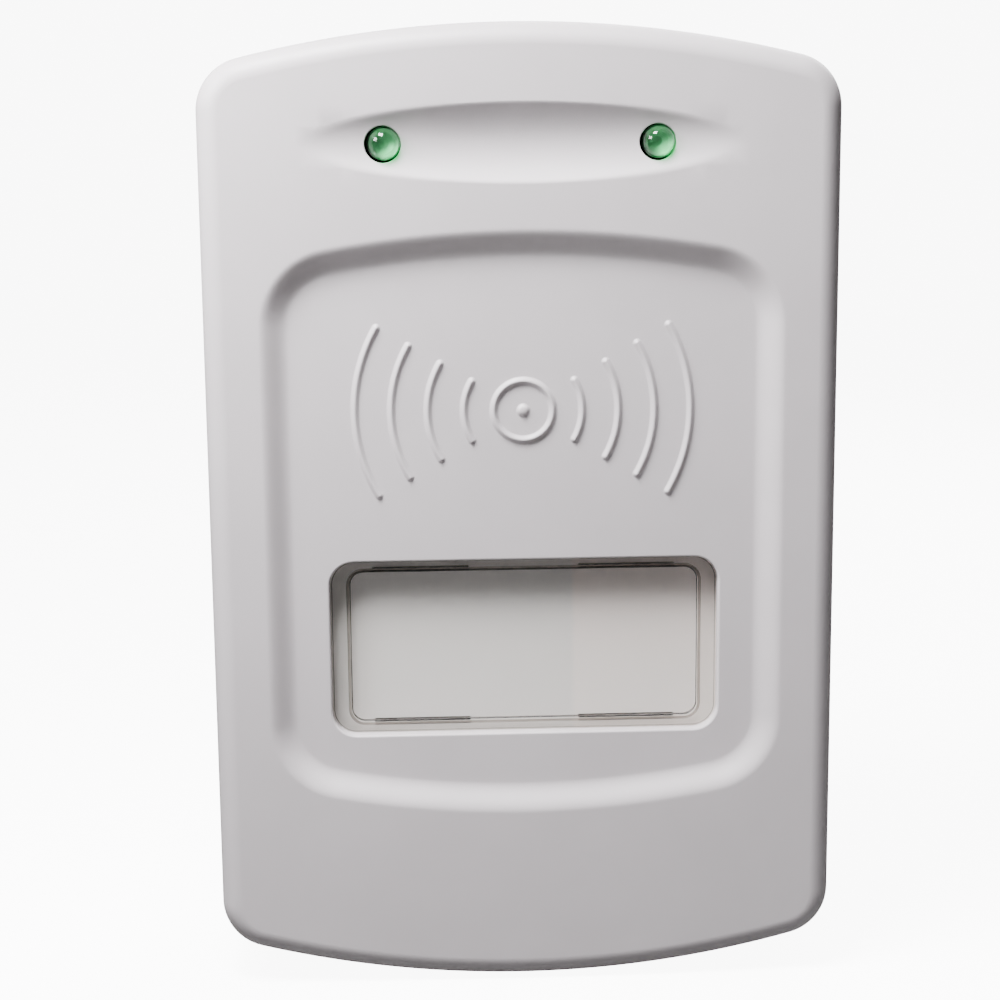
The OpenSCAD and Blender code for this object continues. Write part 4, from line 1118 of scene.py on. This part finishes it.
def window_lens(form, *finishes):
    """Clear tub: raised face, flange, hidden lip, pocket and snap tabs. Paints: clear, edge (painted shade on
    the face's ring, the walls and the snap tabs), flange.
    """
    shell, w = Shell(), form.window
    low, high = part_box("window_lens")
    face_y, back_y = low[1], high[1] - w.tab_reach
    flange_y, lip_y = form.panel_y + w.flange_drop, back_y - w.lip_depth
    hole = form.opening.outline
    face = rounded_rect(2 * (hole.half - w.face_side), hole.top - hole.bottom - 2 * w.face_end, w.face_corner,
                        form.window_z)
    flange, lip = hole.inset(w.clearance), hole.inset(-w.lip)
    pocket = face.inset(w.rim)
    pocket_y = face_y + w.face_depth
    soft = 0.15 * MM
    shell.sheet(flat_at(face_y), fill(pocket.points()[0]))
    # Paint 1 is painted shade: the ring round the face and the face's edge and wall are tinted dark
    shell.paint = 1
    shell.bands([flat_ring(pocket, face_y), flat_ring(face.inset(w.face_edge), face_y)])
    edge_strip(shell, face, w.face_edge, face_y, -1)
    shell.bands([flat_ring(face, face_y + w.face_edge), flat_ring(face, flange_y)])
    shell.paint = 2
    shell.bands([flat_ring(face, flange_y), flat_ring(flange.inset(soft), flange_y)])
    # The flange's outer edge and wall get painted shade, a dark line round the opening
    shell.paint = 1
    edge_strip(shell, flange, soft, flange_y, -1, steps=4)
    shell.bands([flat_ring(flange, flange_y + soft), flat_ring(flange, lip_y)])
    shell.paint = 2
    shell.bands([flat_ring(flange, lip_y), flat_ring(lip.inset(soft), lip_y)])
    edge_strip(shell, lip, soft, lip_y, -1, steps=3)
    side_strip(shell, lip, lip_y + soft, back_y - soft)
    edge_strip(shell, lip, soft, back_y, 1, (90, 0), 3)
    shell.bands([flat_ring(lip.inset(soft), back_y), flat_ring(pocket, back_y)])
    # The pocket's wall gets painted shade
    shell.paint = 1
    shell.bands([flat_ring(pocket, back_y), flat_ring(pocket, pocket_y + soft)])
    shell.paint = 0
    shell.sheet(flat_at(pocket_y), fill(pocket.inset(soft).points()[0]), -1)
    shell.bands([flat_ring(pocket, pocket_y + soft), flat_ring(pocket.inset(soft), pocket_y)])
    # The snap tabs get painted shade, dark bars at the top and bottom of the window
    shell.paint = 1
    z = pocket.top - form.window_z + w.tab_width / 2
    for x in (-w.tab_place, w.tab_place):
        for side in (-1, 1):
            tab = rounded_rect(w.tab_length, w.tab_width, 0.15 * MM, form.window_z + side * z, x)
            slab(shell, tab, back_y - 0.1 * MM, high[1], 0.1 * MM)
    return shell.build("window_tub", *finishes)


def slab(shell, outline, y0, y1, soft, holes=()):
    """A closed plate between two depths with softened edges."""
    loops = [h.points()[0] for h in holes]
    for y, sign in ((y0, 1), (y1, -1)):
        shell.sheet(flat_at(y), fill(outline.inset(soft).points()[0], loops), sign)
    edge_strip(shell, outline, soft, y0, -1, steps=4)
    side_strip(shell, outline, y0 + soft, y1 - soft)
    edge_strip(shell, outline, soft, y1, 1, (90, 0), 4)
    for loop in loops:
        shell.strip([flat_ring(loop, y1), flat_ring(loop, y0)])


def diffuser_sheet(form, finish):
    """Milky sheet behind the lens, notched for its snap tabs."""
    shell, w = Shell(), form.window
    low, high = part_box("light_diffuser")
    outline = form.opening.outline.inset(-w.lip)
    z = (form.opening.outline.top - form.window_z) - w.face_end - w.rim + w.tab_width / 2
    play = 0.2 * MM
    notches = [rounded_rect(w.tab_length + play, w.tab_width + play, 0.2 * MM, form.window_z + s * z, x)
               for s in (-1, 1) for x in (-w.tab_place, w.tab_place)]
    slab(shell, outline, low[1], high[1], 0.1 * MM, notches)
    return shell.build("milky_sheet", finish)


# ---------------------------------------------------------------- lamps

def lamp_glass(form, node, finish):
    """Dome, barrel and flange of one indicator lamp."""
    shell, r = Shell(), form.lamp_r
    x, _, z = centre(node)
    tip, back = (corner[1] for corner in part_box(node))
    wide, soft = r + form.lamps.flange, 0.1 * MM
    step = back - form.lamps.flange_height
    dome = [(r * math.sin(a), tip + r * (1 - math.cos(a))) for a in np.linspace(0, math.pi / 2, 17)]
    turned(shell, x, z, dome + [(r, step - soft)])
    turned(shell, x, z, [(r, step - soft), (r + soft, step), (wide - soft, step), (wide, step + soft),
                         (wide, back - soft), (wide - soft, back)])
    shell.bands([bar_ring(x, z, wide - soft, back, 48), bar_ring(x, z, 0, back, 48)])
    return shell.build(node.replace("_led_lens", "_lamp_dome"), finish)


def lamp_frame(form, node, finish):
    """Two leads with the anvil and post they carry inside the lamp."""
    shell = Shell()
    wide, _, thick = spans(node)
    x, _, z = centre(node)
    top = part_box(node.replace("leads", "lens"))[0][1] + form.lamp_r
    middle, low, end = top + 1.1 * MM, top + 2.2 * MM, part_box(node)[1][1]
    for side in (-1, 1):
        lead = rounded_rect(thick, thick, 0.08 * MM, z, x + side * (wide - thick) / 2)
        plate = rounded_rect(1.2 * MM, 0.5 * MM, 0.15 * MM, z, x + side * 0.95 * MM)
        slab(shell, lead, low, end, 0.05 * MM)
        slab(shell, plate, middle, low, 0.08 * MM)
    bowl = [(0, 0.85), (0.4, 0.82), (0.9, 0.65), (1.3, 0.35), (1.55, 0.05), (1.7, 0.05), (1.7, 1.1), (0, 1.1)]
    shell.bands([bar_ring(x, z, r * MM, top + y * MM, 32) for r, y in bowl])
    return shell.build(node.replace("leads", "lead_frame"), finish)


# ---------------------------------------------------------------- screws, label and knob

def cross_loop(reach, half):
    """Outline of a cross recess, anticlockwise."""
    quarter = np.array([[reach, -half], [reach, half], [half, half]])
    turns = [np.array([[math.cos(a), math.sin(a)], [-math.sin(a), math.cos(a)]])
             for a in np.radians((0, 90, 180, 270))]
    return np.concatenate([quarter @ t for t in turns])


def pan_screw(form, head, height, shank, length_of_shank):
    """A domed screw whose head faces the front from a seat at 0: cross recess, rounded rim and thread."""
    shell, f = Shell(), form.fasteners
    rim, crown, deep = head * 0.88, height * 0.3, height * 0.55
    reach, half, foot = head * 0.62, head * 0.15, head * 0.97

    def top(p):
        bowl = crown * (np.hypot(p[:, 0], p[:, 1]) / rim) ** 2
        x, z = np.abs(p[:, 0]), np.abs(p[:, 1])
        arm = np.maximum(np.minimum(reach - x, half - z), np.minimum(reach - z, half - x))
        return lift(p, -height + bowl + deep * np.clip(arm / (half * 0.45), 0, 1))

    inner = cross_loop(reach - half * 0.45, half * 0.55)
    shell.sheet(top, fill(circle((0, 0), rim, 40), (), [cross_loop(reach, half), inner],
                          (), [q for r in (0.3, 0.55, 0.78) for q in circle((0, 0), rim * r, 20)]))
    drop = [(rim, -height + crown), (head * 0.96, -height * 0.5), (head, -height * 0.25),
            (head, -height * 0.05), (foot, 0)]
    turned(shell, 0, 0, drop, 40)
    shell.bands([bar_ring(0, 0, foot, 0, 40), bar_ring(0, 0, shank, 0, 40)])
    y = np.arange(0, length_of_shank, f.thread_pitch / 4)[:, None]
    a = np.linspace(0, 2 * math.pi, 41)[:-1]
    wave = np.abs((y / f.thread_pitch + a / (2 * math.pi)) % 1 - 0.5) * 2
    r = shank - f.thread_depth * wave * np.clip(y / f.thread_pitch, 0, 1)
    r = r * np.clip((length_of_shank - y) / (2 * shank), 0.25, 1)
    shell.strip(np.stack([r * np.cos(a), np.broadcast_to(y, r.shape), r * np.sin(a)], -1))
    last = np.stack([r[-1] * np.cos(a), np.full(40, y[-1]), r[-1] * np.sin(a)], 1)
    shell.bands([last, np.tile([0, length_of_shank, 0], (40, 1))])
    return shell


def screw_group(form, node, finish):
    """Every screw of one group, seated where the group's box says."""
    f, low, high = form.fasteners, *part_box(node)
    big = node == "housing_screws"
    to_back = node in ("housing_screws", "night_light_screws")
    head, tall, shank = (f.big_head, 2 * MM, f.big_shank) if big else (f.small_head, 1.4 * MM, f.small_shank)
    one = pan_screw(form, head, tall, shank, high[1] - low[1] - tall)
    seat = high[1] - tall if to_back else low[1] + tall
    shell = Shell()
    for i, (x, z) in enumerate(screw_places(node, head)):
        shell.take(one, (0, 0.5 + 0.7 * i, math.pi if to_back else 0), (x, seat, z))
    return shell.build(node.replace("_screws", "_pan_screws"), finish)


def label_film(finish):
    """Thin film with rounded corners."""
    low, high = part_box("rating_label")
    wide, _, tall = spans("rating_label")
    shell = Shell()
    outline = rounded_rect(wide, tall, 1.5 * MM, centre("rating_label")[2])
    slab(shell, outline, low[1], high[1], 0.05 * MM)
    return shell.build("back_label", finish)


def thumb_knob(form, finish):
    """Ridged, dished thumb piece on a flat skirt that covers its slot from inside."""
    f, one = form.fasteners, Shell()
    low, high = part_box("switch_knob")
    skirt = 1 * MM
    depth = high[0] - low[0] - skirt
    soft, groove = 0.35 * MM, 0.3 * MM
    outline = rounded_rect(f.knob_wide, f.knob_tall, 0.5 * MM)
    flat = outline.inset(soft)

    def top(p):
        inward = np.clip(flat.depth(p) / groove, 0, 1)
        ridge = groove * (np.cos(2 * math.pi * p[:, 1] / f.knob_ridge) * 0.5 + 0.5)
        dish = 0.25 * MM * np.clip(1 - (p[:, 1] / (f.knob_tall * 0.42)) ** 2, 0, 1)
        return lift(p, -depth + (ridge + dish) * inward)

    rows = np.arange(-f.knob_tall / 2 + 0.4 * MM, f.knob_tall / 2 - 0.35 * MM, f.knob_ridge / 8)
    across = flat.half - 0.02 * MM
    lines = [np.stack([np.linspace(-across, across, 9), np.full(9, z)], 1) for z in rows]
    one.sheet(top, fill(flat.points(6, 8, 8)[0], (), [flat.inset(groove).points(6, 8, 8)[0]], lines))
    edge_strip(one, outline, soft, -depth, -1, steps=6)
    side_strip(one, outline, -depth + soft, 0)
    _, wide, tall = spans("switch_knob")
    slab(one, rounded_rect(wide, tall, 0.6 * MM), 0, skirt, 0.1 * MM)
    shell = Shell()
    shell.take(one, (0, 0, math.pi / 2), (low[0] + skirt, *centre("switch_knob")[1:]))
    return shell.build("thumb_knob", finish)


# ---------------------------------------------------------------- pieces kept from the frame

def soften(node, width):
    """Rounds a node's sharp edges, as moulding, stamping or tumbling leaves them; width in mm."""
    bevel = frame["nodes"][node].modifiers.new("soft_edges", "BEVEL")
    bevel.width, bevel.segments = width * MM, 2
    bevel.limit_method, bevel.angle_limit = "ANGLE", math.radians(40)
    bevel.harden_normals = True


def coat(finish, *nodes, soft=0.0):
    """Gives nodes of the frame their finish, and edges rounded over soft mm."""
    for node in nodes:
        for slot in frame["nodes"][node].material_slots:
            slot.material = finish
        if soft:
            soften(node, soft)


# ---------------------------------------------------------------- operators

class Shells(bpy.types.Operator):
    """Builds the moulded front cover and rear housing"""
    bl_idname = "repeller.shells"
    bl_label = "Casing shells"

    def execute(self, context):
        form = Form(context.scene)
        finish = moulded("casing_plastic", form.colours.casing)
        settle(front_cover(form, finish), CASING, "casing_plastic", "front_cover")
        settle(rear_housing(form, finish), CASING, "casing_plastic", "rear_housing")
        return {"FINISHED"}


class NightLight(bpy.types.Operator):
    """Builds the window lens and its milky sheet, and finishes the light behind them"""
    bl_idname = "repeller.night_light"
    bl_label = "Night light"

    def execute(self, context):
        form = Form(context.scene)
        tints = form.colours
        paints = (
            clear_plastic("clear_lens", tints.lens),
            # The edge paint is painted shade
            clear_plastic("clear_lens_painted_shade", tints.lens_edge, 0.12),
            clear_plastic("clear_lens_flange", tints.lens_flange, 0.22),
        )
        settle(window_lens(form, *paints), CASING, "clear_lens", "window_lens")
        sheet = milky_sheet("milky_sheet", tints.diffuser, tints.diffuser_cream, form.window_z)
        settle(diffuser_sheet(form, sheet), CASING, "milky_plastic", "light_diffuser")
        coat(moulded("tray_plastic", (0.84, 0.84, 0.83), 0.35, 0.3), "light_reflector", soft=0.15)
        wide, _, tall = spans("night_light_leds")
        pitch = (wide - tall * 1.25) / 3
        coat(light_chip("light_chip", pitch, form.window_z), "night_light_leds", soft=0.1)
        chip = fired("chip_body", (0.02, 0.02, 0.022), (0.05, 0.05, 0.05), 0.5, 0.1, 0.01)
        coat(chip, "night_light_resistors", soft=0.06)
        return {"FINISHED"}


class Lamps(bpy.types.Operator):
    """Builds the two indicator lamps with their lead frames, and finishes their spacers"""
    bl_idname = "repeller.lamps"
    bl_label = "Indicator lamps"

    def execute(self, context):
        form = Form(context.scene)
        # The second colour is painted shade for the lower-left rim of each lamp
        glass = lamp_epoxy("green_epoxy", form.colours.lamp, form.colours.lamp_painted_shade)
        wire = metal("tinned_wire", (0.78, 0.78, 0.75), 0.42)
        for side in ("left", "right"):
            settle(lamp_glass(form, side + "_led_lens", glass), CASING, "green_lens", side + "_led_lens")
            settle(lamp_frame(form, side + "_led_leads", wire), CASING, "tinned_wire", side + "_led_leads")
        spacer = moulded("spacer_plastic", (0.03, 0.03, 0.032), 0.5)
        coat(spacer, "left_led_spacer", "right_led_spacer", soft=0.1)
        return {"FINISHED"}


class Fasteners(bpy.types.Operator):
    """Builds every group of screws"""
    bl_idname = "repeller.fasteners"
    bl_label = "Screws"

    def execute(self, context):
        form = Form(context.scene)
        steel = metal("plated_steel", form.colours.steel, 0.24)
        for group in ("housing", "night_light", "retainer", "board", "transducer"):
            node = group + "_screws"
            settle(screw_group(form, node, steel), CASING, "steel_screw", node)
        coat(metal("switch_can_steel", form.colours.steel, 0.3, 0.5), "switch_can", soft=0.08)
        return {"FINISHED"}


class Back(bpy.types.Operator):
    """Builds the label and finishes the plug's blades and their clamp"""
    bl_idname = "repeller.back"
    bl_label = "Plug and label"

    def execute(self, context):
        wide, _, tall = spans("rating_label")
        film = plain_label("label_film", centre("rating_label")[2], wide, tall)
        settle(label_film(film), CASING, "label_film", "rating_label")
        brass = metal("blade_brass", context.scene.repeller_colours.brass, 0.2, 0.3, (1, 1, 16))
        coat(brass, "neutral_blade", "live_blade", soft=0.35)
        coat(moulded("clamp_plastic", (0.74, 0.73, 0.70), 0.5, 0.3), "blade_retainer", soft=0.3)
        return {"FINISHED"}


class Switch(bpy.types.Operator):
    """Builds the ridged thumb knob and finishes the slide switch"""
    bl_idname = "repeller.switch"
    bl_label = "Night-light switch"

    def execute(self, context):
        form = Form(context.scene)
        knob = moulded("knob_plastic", form.colours.knob, 0.45, 0.2, 0.01, 0.08)
        settle(thumb_knob(form, knob), SWITCH, "grey_plastic", "switch_knob")
        coat(moulded("lever_plastic", (0.02, 0.02, 0.021), 0.4), "switch_lever", soft=0.15)
        coat(fibre_board("switch_phenolic", (0.22, 0.09, 0.03)), "switch_base", soft=0.08)
        coat(metal("switch_pin_brass", form.colours.brass, 0.25), "switch_pins", soft=0.06)
        return {"FINISHED"}


class Boards(bpy.types.Operator):
    """Finishes both circuit boards and everything soldered to them"""
    bl_idname = "repeller.boards"
    bl_label = "Boards and components"

    def execute(self, context):
        mask = solder_mask("solder_mask", context.scene.repeller_colours.board)
        coat(mask, "main_board", "night_light_board", soft=0.08)
        tan, brown, red, gold = (0.62, 0.46, 0.28), (0.16, 0.05, 0.02), (0.55, 0.03, 0.02), (0.70, 0.45, 0.12)
        code = ((-0.7, 0.11, brown), (-0.3, 0.11, BLACK), (0.1, 0.11, red), (0.7, 0.11, gold))
        cathode = ((0.7, 0.14, BLACK),)
        silver = ((0.72, 0.13, (0.62, 0.62, 0.62)),)
        caps = tuple((side * 0.88, 0.12, (0.66, 0.64, 0.60)) for side in (-1, 1))
        for name, node, axis, body, half, bands, rough, soft in (
            ("resistor_body", "signal_resistors", "Z", tan, 3, code, 0.35, 0.4),
            ("bleed_body", "bleed_resistor", "X", tan, 3.25, code, 0.35, 0.45),
            ("zener_glass", "zener_diode", "X", (0.66, 0.20, 0.05), 2, cathode, 0.12, 0.35),
            ("rectifier_body", "rectifier_diodes", "Z", (0.02, 0.02, 0.022), 2.6, silver, 0.45, 0.25),
            ("fuse_tube", "fuse", "X", (0.74, 0.68, 0.56), 6.5, caps, 0.3, 0.3),
        ):
            coat(banded(name, node, axis, body, half, bands, rough), node, soft=soft)
        for name, node, top, soft in (
            ("filter_sleeve", "filter_capacitor", (0.015, 0.02, 0.06), 0.4),
            ("supply_sleeve", "supply_capacitor", (0.012, 0.015, 0.02), 0.3),
        ):
            coat(can_sleeve(name, node, top), node, soft=soft)
        for name, nodes, body, speck, rough, grain, depth, soft in (
            ("film_resin", ("film_capacitor",), (0.78, 0.50, 0.05), (0.86, 0.60, 0.10), 0.35, 0.6, 0.02, 0.6),
            ("disc_resin", ("ceramic_capacitors",), (0.50, 0.20, 0.05), (0.62, 0.28, 0.08), 0.4, 0.5, 0.02,
             0.5),
            ("chip_epoxy", ("driver_ic", "driver_transistors"), (0.018, 0.018, 0.02), (0.05, 0.05, 0.052),
             0.55, 0.12, 0.01, 0.15),
            ("ferrite", ("transformer_core",), (0.03, 0.032, 0.036), (0.09, 0.09, 0.095), 0.6, 0.3, 0.03,
             0.25),
        ):
            coat(fired(name, body, speck, rough, grain, depth), *nodes, soft=soft)
        coat(moulded("bobbin_plastic", (0.025, 0.025, 0.027), 0.45), "transformer_bobbin", soft=0.12)
        coat(winding("copper_winding", (0.80, 0.36, 0.16), 0.18), "transformer_winding", soft=0.15)
        return {"FINISHED"}


class Transducer(bpy.types.Operator):
    """Finishes the ultrasonic transducer"""
    bl_idname = "repeller.transducer"
    bl_label = "Transducer"

    def execute(self, context):
        brass = context.scene.repeller_colours.brass
        coat(moulded("cup_plastic", (0.035, 0.035, 0.038), 0.48, 0.25, 0.01), "transducer_cup", soft=0.25)
        coat(metal("cone_aluminium", (0.80, 0.81, 0.82), 0.3, 0.6, (1, 1, 1)), "transducer_cone", soft=0.08)
        coat(metal("plate_brass", brass, 0.3, 0.4, (1, 1, 1)), "piezo_plate", soft=0.06)
        coat(fired("piezo_ceramic", (0.72, 0.68, 0.60), (0.80, 0.77, 0.70), 0.55), "piezo_ceramic", soft=0.06)
        coat(foam("gasket_foam", (0.035, 0.035, 0.037)), "transducer_gasket", soft=0.15)
        return {"FINISHED"}


class Wires(bpy.types.Operator):
    """Rounds and finishes the wires inside"""
    bl_idname = "repeller.wires"
    bl_label = "Wires"

    def execute(self, context):
        for node, shade in (
            ("live_wire", BLACK),
            ("neutral_wire", (0.78, 0.77, 0.74)),
            ("night_light_leads", (0.50, 0.02, 0.015)),
            ("transducer_leads", (0.62, 0.06, 0.02)),
        ):
            coat(sleeve(node.rsplit("_", 1)[0] + "_sleeve", shade), node)
            rounded = frame["nodes"][node].modifiers.new("rounded", "SUBSURF")
            rounded.levels = rounded.render_levels = 1
        return {"FINISHED"}


class Stage(bpy.types.Operator):
    """Builds the floor, the lights and the camera"""
    bl_idname = "repeller.stage"
    bl_label = "Stage"

    def execute(self, context):
        form = Form(context.scene)
        s = context.scene.repeller_stage
        middle = Vector((0, form.face_y, (form.low + form.high) / 2))
        self.camera(context.scene, s, middle)
        self.floor(s, form)
        self.lights(context.scene, s, middle)
        return {"FINISHED"}

    def camera(self, scene, s, middle):
        turn = Matrix.Rotation(s.azimuth, 3, "Z")
        right = turn @ Vector((1, 0, 0))
        up = turn @ Vector((0, math.sin(s.elevation), math.cos(s.elevation)))
        back = turn @ Vector((0, -math.cos(s.elevation), math.sin(s.elevation)))
        across = right * math.cos(s.roll) + up * math.sin(s.roll)
        above = up * math.cos(s.roll) - right * math.sin(s.roll)
        data = bpy.data.cameras.new("camera")
        data.lens, data.sensor_width = s.lens, 36.0
        data.clip_start, data.clip_end = 0.01, 20.0
        camera = bpy.data.objects.new("camera", data)
        scene.collection.objects.link(camera)
        aim = middle + Vector((-s.aim_side, 0, s.aim_up))
        camera.matrix_world = (Matrix.Translation(aim + back * s.distance)
                               @ Matrix((across, above, back)).transposed().to_4x4())
        scene.camera = camera

    def floor(self, s, form):
        """A pale floor that sweeps up behind the object, brighter to the eye than to the object."""
        f = Finish("pale_floor")
        paper = f.noise(0.9 * MM, 4, 0.6)
        seen = f.shader(Base_Color=f.mix(paper * 0.2, (0.93, 0.93, 0.93), (0.88, 0.88, 0.88)), Roughness=0.9,
                        Emission_Color=(1, 1, 1), Emission_Strength=s.floor_glow)
        bounced = f.shader(Base_Color=(s.floor_bounce,) * 3, Roughness=1.0)
        looked_at = f.add("ShaderNodeLightPath").outputs["Is Camera Ray"]
        below = f.add("ShaderNodeNewGeometry").outputs["Backfacing"]
        finish = f.done_mix(below, f.either(looked_at, bounced, seen), f.see_through())
        low, near, far, wide, bend, tall = form.low - 0.3 * MM, -1.6, 1.6, 2.4, 0.6, 2.4
        profile = [(near, low)] + [(far - bend + bend * math.sin(t), low + bend - bend * math.cos(t))
                                   for t in np.linspace(0, math.pi / 2, 17)] + [(far, low + tall)]
        shell = Shell()
        shell.strip([[(x, y, z) for x in (wide, -wide)] for y, z in profile], closed=False)
        shell.build("floor", finish)

    def lights(self, scene, s, middle):
        for name, at, size, power in (
            ("key_light", (-0.08, -0.10, 0.28), (0.11, 0.10), s.key),
            ("fill_light", (-0.12, -0.055, 0.11), (0.06, 0.05), s.fill),
            ("back_light", (0.25, 0.45, 0.40), (0.5, 0.4), s.back),
        ):
            data = bpy.data.lights.new(name, "AREA")
            data.shape, data.size, data.size_y, data.energy = "RECTANGLE", size[0], size[1], power
            lamp = bpy.data.objects.new(name, data)
            lamp.location = middle + Vector(at)
            lamp.visible_camera = False
            lamp.rotation_mode = "QUATERNION"
            lamp.rotation_quaternion = Vector(at).to_track_quat("Z", "Y")
            scene.collection.objects.link(lamp)
        world = bpy.data.worlds.new("surround")
        world.use_nodes = True
        tree = world.node_tree
        tree.nodes["Background"].inputs["Color"].default_value = (1, 1, 1, 1)
        seen = tree.nodes.new("ShaderNodeMapRange")
        seen.inputs["To Min"].default_value, seen.inputs["To Max"].default_value = s.sky, s.floor_glow
        tree.links.new(tree.nodes.new("ShaderNodeLightPath").outputs["Is Camera Ray"], seen.inputs["Value"])
        tree.links.new(seen.outputs[0], tree.nodes["Background"].inputs["Strength"])
        scene.world = world


PIECES = (Shells, NightLight, Lamps, Fasteners, Back, Switch, Boards, Transducer, Wires)
GROUPS = {"repeller_casing": CasingSizes, "repeller_panel": PanelSizes, "repeller_window": WindowSizes,
          "repeller_lamps": LampSizes, "repeller_fasteners": FastenerSizes, "repeller_colours": Finishes,
          "repeller_stage": StageSettings}


class Sidebar(bpy.types.Panel):
    """Lists the steps and their settings"""
    bl_idname = "VIEW3D_PT_repeller"
    bl_label = "Pest repeller"
    bl_space_type = "VIEW_3D"
    bl_region_type = "UI"
    bl_category = "Repeller"

    def draw(self, context):
        for step in (*PIECES, Stage):
            self.layout.operator(step.bl_idname)
        for name, group in GROUPS.items():
            box = self.layout.box()
            box.label(text=group.__doc__)
            for key in group.__annotations__:
                box.prop(getattr(context.scene, name), key)


CLASSES = (*GROUPS.values(), *PIECES, Stage, Sidebar)


def register():
    for cls in CLASSES:
        bpy.utils.register_class(cls)
    for name, group in GROUPS.items():
        setattr(bpy.types.Scene, name, PointerProperty(type=group))


def unregister():
    for name in GROUPS:
        delattr(bpy.types.Scene, name)
    for cls in reversed(CLASSES):
        bpy.utils.unregister_class(cls)


def main():
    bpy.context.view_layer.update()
    register()
    for step in (*PIECES, Stage):
        getattr(bpy.ops.repeller, step.bl_idname.partition(".")[2])()


if __name__ == "__main__":
    main()
